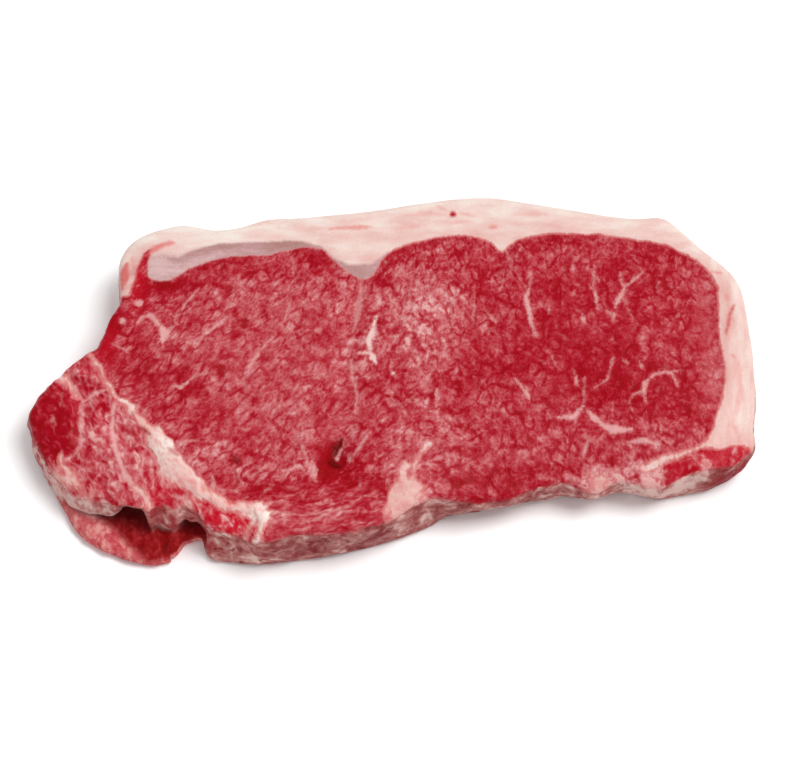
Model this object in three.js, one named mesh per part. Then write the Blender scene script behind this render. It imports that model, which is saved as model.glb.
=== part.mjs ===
// A raw sirloin steak, cut across the loin and lying flat on one cut face.
//
// The eye of lean meat fills the middle, the fat cap runs along the back and round the right end,
// and the thin tail hangs off the left. Under the tail's front edge its lower layer has split away
// and stands out as a flap, with two caves behind it. The steak is one piece of meat, so it is one
// closed solid: a gridded block whose top, wall and underside are moved onto the steak.
//
// Millimetres, +Z up. X runs from the tail to the thick end, Y from the cut front edge to the fat cap.

import * as THREE from "three";
import { mergeVertices } from "three/addons/utils/BufferGeometryUtils.js";

// Driving dimensions
const THICKNESS = 19.6; // of the eye
const TOP_ROUND = 2.4; // how far the rounded top edge reaches in from the wall
const FOOT_ROUND = 2.6; // the same at the foot
const BULGE = 0.5; // how far the wall swells between the two
const FLAP_HEIGHT = 5; // of the split layer's upper side
const CHORD = 6; // the wall faces square to a chord of the edge that runs this far each way
const FAT_RISE = 0.8; // fat stands this far above the lean beside it
const FAT_SHOULDER = 5; // and takes this far to rise
const SEAM_DEPTH = 0.9; // of the grooves between muscles
const SEAM_WIDTH = 3.5;
const RIDGE_RISE = 0.7; // of the fat ridge between eye and tail
const RIDGE_WIDTH = 5;
const TAIL_STEP = 1.4; // the tail's face drops this far beside the ridge
const TAIL_SHOULDER = 9; // over this width
const TAIL_SLOPE = 0.17; // and then falls by this much a millimetre
const RIPPLE_RISE = 0.3; // a shallow ripple keeps the face from lying quite flat
const RIPPLE_LENGTHS = [7, 11, 8, 17]; // of its two crossing waves, each along two axes
const SPLIT_FRONT = -30; // the lower layer has split away only in front of this

// How finely the block is gridded: along, across, and down the wall
const GRID_X = 60;
const GRID_Y = 28;
const WALL_ROWS = 11;

// The top edge in plan, clockwise from the fat cap's left corner, in four sides. The third number is
// how far the wall's foot stands out past the top edge there; below zero the wall is undercut.
const BACK_EDGE = [
  [-78.5, 39, -2], [-75, 42, -2], [-69, 44.6, -2], [-62, 46.2, -2], [-53, 44.3, -2], [-45, 45.4, -2],
  [-37.5, 48, -2], [-25, 49, -2], [-10, 50.8, -2], [5, 53.7, -2], [18, 55.5, -2], [29.5, 56.2, -2],
  [41, 54, -2], [54, 51.3, -2], [71, 48.5, -2],
];
const RIGHT_EDGE = [
  [80, 48.5, -2], [84, 45.3, -2], [90.5, 38, -2], [98, 30.5, -2], [101.3, 25, -2], [103, 14, -2],
  [104, 1, -2], [104.1, -10, -2], [103, -20, -1.5], [103, -25, -1.5],
];
const FRONT_EDGE = [
  [100, -29, -1], [92, -33, -0.4], [83, -34.8, 0], [77, -38, -2], [72, -38, -3], [65, -36.4, -2.6],
  [56.5, -39.3, -4.2], [49, -37, -2], [41.5, -38.4, -2.4], [33, -41.5, -4.2], [24.5, -43, -3.2],
  [16, -42.6, -1.2], [10.5, -43, 1.6], [5, -46, 1], [-1, -50, -0.6], [-8, -52.5, -0.8], [-16, -54, -0.4],
  [-26, -54.6, 0.6], [-36, -56.8, -0.4], [-44, -53.7, 2.4], [-51, -51, 3.4], [-54, -48, 1.4],
  [-56, -46, 7], [-58, -44, 11], [-62, -43.3, 12], [-67, -43, 13.4], [-70, -45.3, 11.6],
  [-74.5, -44.4, 10.7], [-80, -42.3, 10.4], [-86, -41, 8], [-91, -38.5, 4],
];
const LEFT_EDGE = [
  [-96, -33.5, 1.6], [-99.8, -26.5, 0.9], [-102.9, -20, 0.3], [-103.9, -14, -0.3], [-102, -10, -1],
  [-99, -5.4, -1], [-96, -2.4, -1], [-93, 0.4, -1.5], [-89, 2.6, -1.5], [-86, 3.6, -2], [-84.2, 7.4, -2],
  [-82.8, 12.6, -2], [-80, 18.3, -2], [-80, 24, -2], [-80.7, 30, -2], [-80.4, 35.4, -2],
];

// Regions of the cut face, in plan. Where they reach past the steak they close far outside it.
const FAR = 160;
const FAT_REGION = [
  [-FAR, 12], [-76, 12], [-73.4, 25.3], [-72, 28], [-68, 26.5], [-62, 28.5], [-54, 33], [-42, 35],
  [-27, 37.5], [-22, 38], [-14, 31], [-8, 26.5], [-5, 31], [1, 37], [14, 41], [23, 41.5], [29, 39],
  [32, 36], [36, 39.5], [45, 42.3], [60, 42], [76, 39], [88, 33], [93, 26], [94.5, 13], [94.5, -2],
  [93, -17], [87, -28], [FAR, -28], [FAR, FAR], [-FAR, FAR],
];
const TAIL_REGION = [
  [-FAR, 6], [-86, 6], [-84, -2], [-79, -11.5], [-71, -18.5], [-63.5, -25], [-58, -34], [-48, -43],
  [-34, -46], [-34, -FAR], [-FAR, -FAR],
];

// Grooves between muscles
const SEAM_LINES = [
  [[-8, 26], [-11, 19], [-13, 5], [-14, -1], [-13, -9], [-14, -18], [-15, -26]],
  [[32, 36], [30.5, 32], [28, 27]],
];

// Broad rises and falls of the cut face: centre, half-widths along X and Y, and height
const SWELLS = [
  { x: 0, y: 62, along: 150, across: 18, rise: -1.8 }, // the fat cap rounds off to the back
  { x: 60, y: -44, along: 44, across: 12, rise: -7.4 }, // the front right edge thins out
  { x: 106, y: -22, along: 15, across: 22, rise: -4.6 }, // and so does the right end
  { x: -82, y: 33, along: 9, across: 13, rise: -2.4 }, // the fat cap's left end
  { x: -34, y: 2, along: 34, across: 30, rise: 0.8 }, // the three muscles of the eye are domed
  { x: 8, y: 4, along: 16, across: 34, rise: 0.5 },
  { x: 58, y: 8, along: 28, across: 26, rise: 0.8 },
  { x: -16, y: -31, along: 3.5, across: 4, rise: -2.4 }, // a pit where a vessel was cut
  { x: 5, y: -42, along: 6, across: 6, rise: 0.8 }, // a lump of fat on the front edge
];

// The split under the tail, from left to right: how far it is open, how thick the lip above it is,
// how far that lip's foot stands out, and how deep the cave behind it runs.
const SPLIT_STATIONS = [
  { x: -97, open: 0, lip: 8, out: 1, cave: 1 },
  { x: -91, open: 0.8, lip: 9, out: 2, cave: 2 },
  { x: -80, open: 1, lip: 8, out: 1.6, cave: 3 },
  { x: -75, open: 1, lip: 2.6, out: -1.2, cave: 8 },
  { x: -71, open: 1, lip: 3, out: -1.2, cave: 8 },
  { x: -68.5, open: 1, lip: 9, out: 3.5, cave: 2 },
  { x: -65, open: 1, lip: 10.5, out: 5, cave: 1 },
  { x: -61, open: 1, lip: 10.5, out: 5, cave: 1 },
  { x: -57.5, open: 1, lip: 9, out: 2, cave: 5 },
  { x: -54.5, open: 1, lip: 9, out: 0, cave: 8 },
  { x: -51, open: 0, lip: 9, out: 0, cave: 3 },
];

const smooth = (t) => THREE.MathUtils.smoothstep(t, 0, 1);
const mix = THREE.MathUtils.lerp;

// The edge as one closed curve through its stations. A point's z holds the foot's reach.
const SIDES = [BACK_EDGE, RIGHT_EDGE, FRONT_EDGE, LEFT_EDGE];
const stations = SIDES.flat().map(([x, y, foot]) => new THREE.Vector3(x, y, foot));
const edge = new THREE.CatmullRomCurve3(stations, true, "centripetal");
const STEPS_PER_STATION = 24;
edge.arcLengthDivisions = stations.length * STEPS_PER_STATION;
const lengths = edge.getLengths();

// The share of the whole edge, from 0 to 1, at which each side starts
const corners = [0];
let stationsPassed = 0;
for (const side of SIDES) {
  stationsPassed += side.length;
  corners.push(lengths[stationsPassed * STEPS_PER_STATION] / lengths.at(-1));
}

const edgePoint = (share) => edge.getPointAt((share + 1) % 1);

// The way the wall faces there: square to a chord of the edge, with the meat on the right of its run
function outward(share) {
  const reach = CHORD / lengths.at(-1);
  const ahead = edgePoint(share + reach);
  const behind = edgePoint(share - reach);
  return new THREE.Vector2(behind.y - ahead.y, ahead.x - behind.x).normalize();
}

// How far (x, y) is from the stretch between two points
function offStretch(x, y, [x0, y0], [x1, y1]) {
  const dx = x1 - x0;
  const dy = y1 - y0;
  const along = ((x - x0) * dx + (y - y0) * dy) / (dx * dx + dy * dy);
  const t = THREE.MathUtils.clamp(along, 0, 1);
  return Math.hypot(x - x0 - t * dx, y - y0 - t * dy);
}

const offLine = (x, y, line) =>
  Math.min(...line.slice(1).map((end, i) => offStretch(x, y, line[i], end)));

// How deep (x, y) lies inside a region, negative outside it
function depthIn(x, y, region) {
  const closed = [...region, region[0]];
  let inside = false;
  for (let i = 0; i < region.length; i++) {
    const [x0, y0] = closed[i];
    const [x1, y1] = closed[i + 1];
    if (y0 > y !== y1 > y && x < x0 + ((y - y0) / (y1 - y0)) * (x1 - x0)) inside = !inside;
  }
  return (inside ? 1 : -1) * offLine(x, y, closed);
}

const bell = (distance, width) => Math.exp(-((distance / width) ** 2));

// The height of the cut face above the board
function faceHeight(x, y) {
  let z = THICKNESS;
  for (const s of SWELLS) {
    z += s.rise * Math.exp(-(((x - s.x) / s.along) ** 2) - ((y - s.y) / s.across) ** 2);
  }
  z += FAT_RISE * smooth(0.5 + depthIn(x, y, FAT_REGION) / FAT_SHOULDER);
  for (const seam of SEAM_LINES) z -= SEAM_DEPTH * bell(offLine(x, y, seam), SEAM_WIDTH);
  const inTail = depthIn(x, y, TAIL_REGION);
  z += RIDGE_RISE * bell(inTail, RIDGE_WIDTH);
  z -= TAIL_STEP * smooth(inTail / TAIL_SHOULDER) + TAIL_SLOPE * Math.max(inTail, 0);
  const [slantX, slantY, crossY, crossX] = RIPPLE_LENGTHS;
  return z + RIPPLE_RISE * Math.sin(x / slantX + y / slantY) * Math.cos(y / crossY - x / crossX);
}

// The split's measures at x, eased between its stations
function splitAt(x) {
  const last = SPLIT_STATIONS.length - 1;
  const next = SPLIT_STATIONS.findIndex((s) => s.x > x);
  if (next <= 0) return next === 0 ? SPLIT_STATIONS[0] : SPLIT_STATIONS[last];
  const a = SPLIT_STATIONS[next - 1];
  const b = SPLIT_STATIONS[next];
  const t = smooth((x - a.x) / (b.x - a.x));
  return {
    open: mix(a.open, b.open, t),
    lip: mix(a.lip, b.lip, t),
    out: mix(a.out, b.out, t),
    cave: mix(a.cave, b.cave, t),
  };
}

// The wall in section, from the cut face down to the underside: how far out each row lies, and how high
function wallSection(height, foot, split) {
  const plain = [
    [-TOP_ROUND, height],
    [-0.3 * TOP_ROUND, height - 0.25 * TOP_ROUND],
    [0, height - 0.9 * TOP_ROUND],
    [0.8 * BULGE, 0.76 * height],
    [BULGE, 0.65 * height],
    [BULGE + 0.2 * foot, 0.54 * height],
    [BULGE + 0.4 * foot, 0.43 * height],
    [0.7 * BULGE + 0.6 * foot, 0.32 * height],
    [0.4 * BULGE + 0.8 * foot, 0.22 * height],
    [foot, 0.12 * height],
    [foot - 0.3 * FOOT_ROUND, 0.03 * height],
    [foot - FOOT_ROUND, 0],
  ];
  const under = height - split.lip;
  const layered = [
    [-TOP_ROUND, height],
    [-0.3 * TOP_ROUND, height - 0.08 * split.lip],
    [0.3 * split.out, height - 0.25 * split.lip],
    [0.8 * split.out, height - 0.6 * split.lip],
    [split.out, mix(height, under, 0.95)],
    [split.out - 0.5 * split.cave, under],
    [split.out - split.cave, mix(under, FLAP_HEIGHT, 0.5)],
    [split.out - 0.5 * split.cave, FLAP_HEIGHT + 0.2],
    [0.55 * foot, FLAP_HEIGHT - 0.6],
    [foot - 0.3, 0.56 * FLAP_HEIGHT],
    [foot - 0.3 * FOOT_ROUND, 0.1 * FLAP_HEIGHT],
    [foot - FOOT_ROUND, 0],
  ];
  return plain.map((place, row) => place.map((value, axis) => mix(value, layered[row][axis], split.open)));
}

// A point of the wall: row 0 is the rim of the cut face, the last row the rim of the underside.
function wallPoint(side, t, row) {
  const share = mix(corners[side], corners[side + 1], t);
  const top = edgePoint(share);
  const away = outward(share);
  const rimX = top.x - TOP_ROUND * away.x;
  const rimY = top.y - TOP_ROUND * away.y;
  const split = top.y < SPLIT_FRONT ? splitAt(top.x) : SPLIT_STATIONS[0];
  const [out, z] = wallSection(faceHeight(rimX, rimY), top.z, split)[row];
  return new THREE.Vector3(top.x + out * away.x, top.y + out * away.y, z);
}

// A point inside a rim, blended from its four sides: a runs along X and b along Y, both from 0 to 1.
function insideRim(a, b, row) {
  const [back, right, front, left] = [
    wallPoint(0, a, row), wallPoint(1, 1 - b, row), wallPoint(2, 1 - a, row), wallPoint(3, b, row),
  ];
  const [backLeft, backRight, frontRight, frontLeft] = [0, 1, 2, 3].map((side) => wallPoint(side, 0, row));
  const blend = (axis) =>
    mix(front[axis], back[axis], b) + mix(left[axis], right[axis], a) -
    mix(mix(frontLeft[axis], frontRight[axis], a), mix(backLeft[axis], backRight[axis], a), b);
  return new THREE.Vector2(blend("x"), blend("y"));
}

// Where a point of the unit block goes on the steak
function onSteak(a, b, c) {
  if (c === 1) {
    const p = insideRim(a, b, 0);
    return new THREE.Vector3(p.x, p.y, faceHeight(p.x, p.y));
  }
  if (c === 0) {
    const p = insideRim(a, b, WALL_ROWS);
    return new THREE.Vector3(p.x, p.y, 0);
  }
  const row = Math.round((1 - c) * WALL_ROWS);
  if (b === 1) return wallPoint(0, a, row);
  if (a === 1) return wallPoint(1, 1 - b, row);
  if (b === 0) return wallPoint(2, 1 - a, row);
  return wallPoint(3, b, row);
}

function steakGeometry() {
  const block = new THREE.BoxGeometry(1, 1, 1, GRID_X, GRID_Y, WALL_ROWS);
  block.deleteAttribute("normal");
  block.deleteAttribute("uv");
  const shape = mergeVertices(block, 1e-4);
  const position = shape.getAttribute("position");
  const unit = (value, count) => Math.round((value + 0.5) * count) / count;
  for (let i = 0; i < position.count; i++) {
    const a = unit(position.getX(i), GRID_X);
    const b = unit(position.getY(i), GRID_Y);
    const c = unit(position.getZ(i), WALL_ROWS);
    const p = onSteak(a, b, c);
    position.setXYZ(i, p.x, p.y, p.z);
  }
  return shape;
}

// The origin is on the board under the middle of the steak's box.
function centred(geometry) {
  geometry.computeBoundingBox();
  const { min, max } = geometry.boundingBox;
  return geometry.translate(-(min.x + max.x) / 2, -(min.y + max.y) / 2, -min.z);
}

const rawMeat = new THREE.MeshStandardMaterial({ color: 0xb83a45, roughness: 0.45, metalness: 0 });

const steak = new THREE.Mesh(centred(steakGeometry()), rawMeat);
steak.name = "steak";

const group = new THREE.Group();
group.add(steak);

export default group;
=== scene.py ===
# %% [markdown]
# # A raw sirloin steak
#
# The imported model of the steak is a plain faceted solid. This notebook gives it its looks: a fine
# closed surface of the same form, with the lean, the fat cap, the silverskin, the marbling and the
# split tail, and a material that tells them apart. The plain solid stays where it is as the frame,
# and the fine surface is laid into its box.

import bpy
import numpy as np
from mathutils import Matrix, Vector


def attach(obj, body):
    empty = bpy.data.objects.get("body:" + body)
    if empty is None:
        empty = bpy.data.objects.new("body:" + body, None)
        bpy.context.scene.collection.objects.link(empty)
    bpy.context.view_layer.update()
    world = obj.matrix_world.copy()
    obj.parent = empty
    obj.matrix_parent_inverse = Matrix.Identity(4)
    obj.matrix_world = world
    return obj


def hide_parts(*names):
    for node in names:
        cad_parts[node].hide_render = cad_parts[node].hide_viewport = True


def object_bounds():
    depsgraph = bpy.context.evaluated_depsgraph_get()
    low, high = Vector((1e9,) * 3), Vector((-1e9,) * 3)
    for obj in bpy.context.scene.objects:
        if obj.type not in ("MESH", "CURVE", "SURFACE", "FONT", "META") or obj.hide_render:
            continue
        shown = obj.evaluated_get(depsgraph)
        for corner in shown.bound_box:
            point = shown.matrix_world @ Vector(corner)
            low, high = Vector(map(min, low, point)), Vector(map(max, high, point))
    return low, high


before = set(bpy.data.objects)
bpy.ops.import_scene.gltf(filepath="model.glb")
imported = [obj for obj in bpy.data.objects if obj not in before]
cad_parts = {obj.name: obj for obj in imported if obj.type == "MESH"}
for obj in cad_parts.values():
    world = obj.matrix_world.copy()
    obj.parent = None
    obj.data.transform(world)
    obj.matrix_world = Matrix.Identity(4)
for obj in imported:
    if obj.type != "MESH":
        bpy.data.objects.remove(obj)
cad_low, cad_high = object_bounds()
print("packed nodes:", sorted(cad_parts))

# %% [markdown]
# ## Sizes
#
# A steak is cut by hand, so it has few true measures: a thickness, the rounding of its edges and
# how far the fat stands above the lean. They are kept in millimetres, as a butcher would say them,
# and turned into Blender's metres once, when the mesh is made.

# %% Sizes in millimetres
MM = 0.001
THICKNESS = 19.6  # of the eye
TOP_ROUND = 2.4  # the rounded top edge reaches this far in from the wall
FOOT_ROUND = 2.6
BULGE = 0.5  # the wall swells this far between the two
FLAP_HEIGHT = 5.0  # upper side of the layer that has split away under the tail
CHORD = 6.0  # the wall faces square to a chord of the edge that runs this far each way
FAT_RISE = 0.8
FAT_SHOULDER = 5.0
SEAM_DEPTH = 0.9  # of the grooves between muscles
SEAM_WIDTH = 3.5
RIDGE_RISE = 0.7  # of the fat ridge between eye and tail
RIDGE_WIDTH = 5.0
TAIL_STEP = 1.4  # the tail's face drops this far beside the ridge
TAIL_SHOULDER = 9.0  # over this width
TAIL_SLOPE = 0.17  # and then falls by this much a millimetre
RIPPLE = 0.3  # the knife leaves the face this uneven
FAR = 160.0  # well outside the steak
print("cut", THICKNESS, "mm thick")

# %% [markdown]
# ## The edge in plan
#
# The outline is the steak's most telling line: a smooth fat cap along the back, a blunt right end,
# a ragged front and a tail that hangs off the left. It could be a traced image or a bezier drawn by
# hand. Here it is a closed curve through a few dozen stations, in four sides, because four sides
# are what a grid needs. The third number is how far the foot of the wall stands out past the edge.

# %% Stations of the edge, clockwise from the fat cap's left corner
BACK_EDGE = [
    (-78.5, 39, -2), (-75, 42, -2), (-69, 44.6, -2), (-62, 46.2, -2), (-53, 44.3, -2), (-45, 45.4, -2),
    (-37.5, 48, -2), (-25, 49, -2), (-10, 50.8, -2), (5, 53.7, -2), (18, 55.5, -2), (29.5, 56.2, -2),
    (41, 54, -2), (54, 51.3, -2), (71, 48.5, -2),
]
RIGHT_EDGE = [
    (80, 48.5, -2), (84, 45.3, -2), (90.5, 38, -2), (98, 30.5, -2), (101.3, 25, -2), (103, 14, -2),
    (104, 1, -2), (104.1, -10, -2), (103, -20, -1.5), (103, -25, -1.5),
]
FRONT_EDGE = [
    (100, -29, -1), (92, -33, -0.4), (83, -34.8, 0), (77, -38, -2), (72, -38, -3), (65, -36.4, -2.6),
    (56.5, -39.3, -4.2), (49, -37, -2), (41.5, -38.4, -2.4), (33, -41.5, -4.2), (24.5, -43, -3.2),
    (16, -42.6, -1.2), (10.5, -43, 1.6), (5, -46, 1), (-1, -50, -0.6), (-8, -52.5, -0.8), (-16, -54, -0.4),
    (-26, -54.6, 0.6), (-36, -56.8, -0.4), (-44, -53.7, 2.4), (-51, -51, 3.4), (-54, -48, 1.4),
    (-56, -46, 7), (-58, -44, 11), (-62, -43.3, 12), (-67, -43, 13.4), (-70, -45.3, 11.6),
    (-74.5, -44.4, 10.7), (-80, -42.3, 10.4), (-86, -41, 8), (-91, -38.5, 4),
]
LEFT_EDGE = [
    (-96, -33.5, 1.6), (-99.8, -26.5, 0.9), (-102.9, -20, 0.3), (-103.9, -14, -0.3), (-102, -10, -1),
    (-99, -5.4, -1), (-96, -2.4, -1), (-93, 0.4, -1.5), (-89, 2.6, -1.5), (-86, 3.6, -2), (-84.2, 7.4, -2),
    (-82.8, 12.6, -2), (-80, 18.3, -2), (-80, 24, -2), (-80.7, 30, -2), (-80.4, 35.4, -2),
]
SIDES = [BACK_EDGE, RIGHT_EDGE, FRONT_EDGE, LEFT_EDGE]
STATIONS = np.array(sum(SIDES, []), float)
print(len(STATIONS), "stations round the edge")

# %% The curve through them
STEPS_PER_STATION = 24


def cubic(start, end, leaving, arriving, w):
    """The cubic from start to end, at share w of the way, that has those slopes at its two ends."""
    bend = 3 * (end - start) - 2 * leaving - arriving
    twist = 2 * (start - end) + leaving + arriving
    return start + w * leaving + w**2 * bend + w**3 * twist


def along_stations(t):
    """Points of the closed centripetal Catmull-Rom curve at t, with station k at t = k.

    Each stretch is a cubic between two stations. Its end slopes come from the stations on either
    side, weighed by the square roots of the distances between them, so it never loops."""
    k = np.floor(t).astype(int)
    w = (t - k)[:, None]
    before, start, end, after = (STATIONS[(k + step) % len(STATIONS)] for step in (-1, 0, 1, 2))
    gaps = [np.sqrt(np.linalg.norm(b - a, axis=1))[:, None]
            for a, b in ((before, start), (start, end), (end, after))]
    leaving = (start - before) / gaps[0] - (end - before) / (gaps[0] + gaps[1]) + (end - start) / gaps[1]
    arriving = (end - start) / gaps[1] - (after - start) / (gaps[1] + gaps[2]) + (after - end) / gaps[2]
    return cubic(start, end, leaving * gaps[1], arriving * gaps[1], w)


curve_steps = np.arange(len(STATIONS) * STEPS_PER_STATION + 1) / STEPS_PER_STATION
hops = np.linalg.norm(np.diff(along_stations(curve_steps), axis=0), axis=1)
curve_lengths = np.concatenate([[0], np.cumsum(hops)])
EDGE_LENGTH = curve_lengths[-1]
side_starts = np.cumsum([0] + [len(side) for side in SIDES])
CORNER_SHARES = curve_lengths[side_starts * STEPS_PER_STATION] / EDGE_LENGTH


def edge_at(share):
    """Edge points at even shares of its length, from 0 to 1, with the foot's reach as third number."""
    return along_stations(np.interp(share % 1, curve_lengths / EDGE_LENGTH, curve_steps))


def facing_at(share):
    """The way the wall faces: square to the chord between the points CHORD ahead and behind."""
    reach = CHORD / EDGE_LENGTH
    chord = edge_at(share + reach) - edge_at(share - reach)
    away = np.stack([-chord[:, 1], chord[:, 0]], axis=1)
    return away / np.linalg.norm(away, axis=1, keepdims=True)


print(f"edge {EDGE_LENGTH:.0f} mm round")

# %% [markdown]
# ## Regions and strokes
#
# Everything on the cut face is one of two kinds: a region with an outline, such as the fat cap, or
# a line with a thickness, such as a vein of fat. Each is measured as a depth in millimetres, above
# zero inside and below zero outside. A depth carries over well from vertex to vertex, so a
# material can cut it sharply between them, which a painted mask at the vertices can't do.

# %% Soft steps
def smooth(t):
    """0 below 0, 1 above 1, and an S-curve between: 3t^2 - 2t^3."""
    t = np.clip(t, 0, 1)
    return t * t * (3 - 2 * t)


def bell(distance, width):
    """1 at distance 0, falling off as exp(-(distance/width)^2)."""
    return np.exp(-((distance / width) ** 2))


def inside(depth, width):
    """0 well outside a region, 1 well inside, and an S-curve of that width across its edge."""
    return smooth(0.5 + depth / width)


print("a step 2 mm wide has reached", inside(0.5, 2.0), "half a millimetre inside the edge")


# %% Depths in strokes and outlines
def stroke(x, y, line):
    """How deep (x, y) lies in a brush stroke through (x, y, half width) points.

    Over each stretch: the half width there, less the distance to the stretch. The largest counts."""
    depth = np.full(np.shape(x), -FAR)
    for (x0, y0, w0), (x1, y1, w1) in zip(line[:-1], line[1:]):
        dx = x1 - x0
        dy = y1 - y0
        t = np.clip(((x - x0) * dx + (y - y0) * dy) / (dx * dx + dy * dy), 0, 1)
        depth = np.maximum(depth, w0 + (w1 - w0) * t - np.hypot(x - x0 - t * dx, y - y0 - t * dy))
    return depth


def strokes(x, y, lines):
    """How deep (x, y) lies in the deepest of several strokes."""
    return np.max([stroke(x, y, line) for line in lines], axis=0)


def off_line(x, y, line):
    """Distance from (x, y) to a line of points."""
    return -stroke(x, y, [(px, py, 0.0) for px, py in line])


def depth_in(x, y, outline):
    """How deep (x, y) lies inside a closed outline: the distance to it, negative outside.

    A point is inside if a ray along +X crosses the outline an odd number of times."""
    ring = outline + outline[:1]
    odd = np.zeros(np.shape(x), bool)
    for (x0, y0), (x1, y1) in zip(ring[:-1], ring[1:]):
        if y0 != y1:
            crosses = (y0 > y) != (y1 > y)
            odd ^= crosses & (x < x0 + (y - y0) / (y1 - y0) * (x1 - x0))
    return np.where(odd, 1, -1) * off_line(x, y, ring)


print("a stroke 1 mm wide holds its middle", stroke(0.0, 0.0, [(-1, 0, 0.5), (1, 0, 0.5)]), "mm deep")


# %% Spots and noise
def spotted(x, y, spots):
    """Sum of soft spots: amount times exp(-u^2 - v^2) over the half-widths."""
    return sum(amount * np.exp(-(((x - mid_x) / along) ** 2) - ((y - mid_y) / across) ** 2)
               for mid_x, mid_y, along, across, amount in spots)


LATTICE = 32  # cells each way before the noise repeats


def lattice_noise(points, size, seed):
    """Smooth noise from -1 to 1 whose lumps are about size across; size may differ by axis.

    Random numbers sit on a lattice of that spacing, and a point blends the eight round it with
    an S-curve along each axis."""
    table = np.random.default_rng(seed).uniform(-1, 1, (LATTICE,) * 3)
    cell = points / np.asarray(size, float)
    low = np.floor(cell).astype(int)
    share = smooth(cell - low)
    total = 0
    for corner in np.ndindex(2, 2, 2):
        index = (low + corner) % LATTICE
        weight = np.prod(np.where(corner, share, 1 - share), axis=-1)
        total = total + weight * table[index[..., 0], index[..., 1], index[..., 2]]
    return total


print("a spot is", round(float(spotted(1.0, 0.0, [(0, 0, 1, 1, 1.0)])), 2), "strong at its half-width")

# %% [markdown]
# ## The form of the cut face
#
# The face looks flat but isn't: the three muscles of the eye are slightly domed, the seams between
# them sink, the fat stands a little proud because it is stiffer than the lean, and the tail slopes
# away. The height is a sum of such soft terms over the plan.

# %% Height of the cut face
FAT_REGION = [
    (-FAR, 12), (-76, 12), (-73.4, 25.3), (-72, 28), (-68, 26.5), (-62, 28.5), (-54, 33), (-42, 35),
    (-27, 37.5), (-22, 38), (-14, 31), (-8, 26.5), (-5, 31), (1, 37), (14, 41), (23, 41.5), (29, 39),
    (32, 36), (36, 39.5), (45, 42.3), (60, 42), (76, 39), (88, 33), (93, 26), (94.5, 13), (94.5, -2),
    (93, -17), (87, -28), (FAR, -28), (FAR, FAR), (-FAR, FAR),
]
TAIL_REGION = [
    (-FAR, 6), (-86, 6), (-84, -2), (-79, -11.5), (-71, -18.5), (-63.5, -25), (-58, -34), (-48, -43),
    (-34, -46), (-34, -FAR), (-FAR, -FAR),
]
SEAM_LINES = [
    [(-8, 26), (-11, 19), (-13, 5), (-14, -1), (-13, -9), (-14, -18), (-15, -26)],
    [(32, 36), (30.5, 32), (28, 27)],
]
# Broad rises and falls: centre, half-widths along X and Y, height
SWELLS = [
    (0, 62, 150, 18, -1.8),  # the fat cap rounds off to the back
    (60, -44, 44, 12, -7.4),  # the front right edge thins out
    (106, -22, 15, 22, -4.6),  # and so does the right end
    (-82, 33, 9, 13, -2.4),  # the fat cap's left end
    (-34, 2, 34, 30, 0.8),  # the three muscles of the eye
    (8, 4, 16, 34, 0.5),
    (58, 8, 28, 26, 0.8),
    (-16, -31, 3.5, 4, -2.4),  # a pit where a vessel was cut
    (5, -42, 6, 6, 0.8),  # a lump of fat on the front edge
]


def face_height(x, y):
    """Height of the cut face: the thickness, plus soft swells, plus the fat's step, less bell-shaped
    seams, plus the ridge, less the tail's step and slope, plus a ripple. The ripple is a sine along
    one slanting line times a cosine along another, both about 40 mm long."""
    z = THICKNESS + spotted(x, y, SWELLS)
    z = z + FAT_RISE * inside(depth_in(x, y, FAT_REGION), FAT_SHOULDER)
    for seam in SEAM_LINES:
        z = z - SEAM_DEPTH * bell(off_line(x, y, seam), SEAM_WIDTH)
    in_tail = depth_in(x, y, TAIL_REGION)
    z = z + RIDGE_RISE * bell(in_tail, RIDGE_WIDTH)
    z = z - TAIL_STEP * smooth(in_tail / TAIL_SHOULDER) - TAIL_SLOPE * np.maximum(in_tail, 0)
    return z + RIPPLE * np.sin(x / 7 + y / 11) * np.cos(y / 8 - x / 17)


print(f"the eye is {face_height(np.array(-30.0), np.array(0.0)):.1f} mm high")

# %% [markdown]
# ## The wall in section
#
# The cut edge rolls over into a wall that bulges a little and tucks under at the foot. Under the
# tail the lower layer has split away: there the wall runs in under a lip, back out over the top of
# a flap and down to the board. Both sections have the same rows, so one can fade into the other
# along the edge, and a smooth curve runs down through the rows.

# %% Where the tail has split
# x, how far it is open, thickness of the lip, how far the lip's foot stands out, depth of the cave
SPLIT = np.array([
    (-97, 0, 8, 1, 1), (-91, 0.8, 9, 2, 2), (-80, 1, 8, 1.6, 3), (-75, 1, 2.6, -1.2, 8), (-71, 1, 3, -1.2, 8),
    (-68.5, 1, 9, 3.5, 2), (-65, 1, 10.5, 5, 1), (-61, 1, 10.5, 5, 1), (-57.5, 1, 9, 2, 5),
    (-54.5, 1, 9, 0, 8), (-51, 0, 9, 0, 3),
], float)
SPLIT_FRONT = -30.0  # the split is only in front of this


def split_at(x, y):
    """The split's four measures at x, eased between its stations by an S-curve, and shut elsewhere."""
    k = np.clip(np.searchsorted(SPLIT[:, 0], x) - 1, 0, len(SPLIT) - 2)
    t = smooth((x - SPLIT[k, 0]) / (SPLIT[k + 1, 0] - SPLIT[k, 0]))[:, None]
    measures = SPLIT[k, 1:] * (1 - t) + SPLIT[k + 1, 1:] * t
    return np.where((y < SPLIT_FRONT)[:, None], measures, SPLIT[0, 1:]).T


print("the tail is split over", int(np.ptp(SPLIT[:, 0])), "mm")

# %% Sections of the wall
DRAWN_ROWS = 12  # of a section, plain or split


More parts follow.
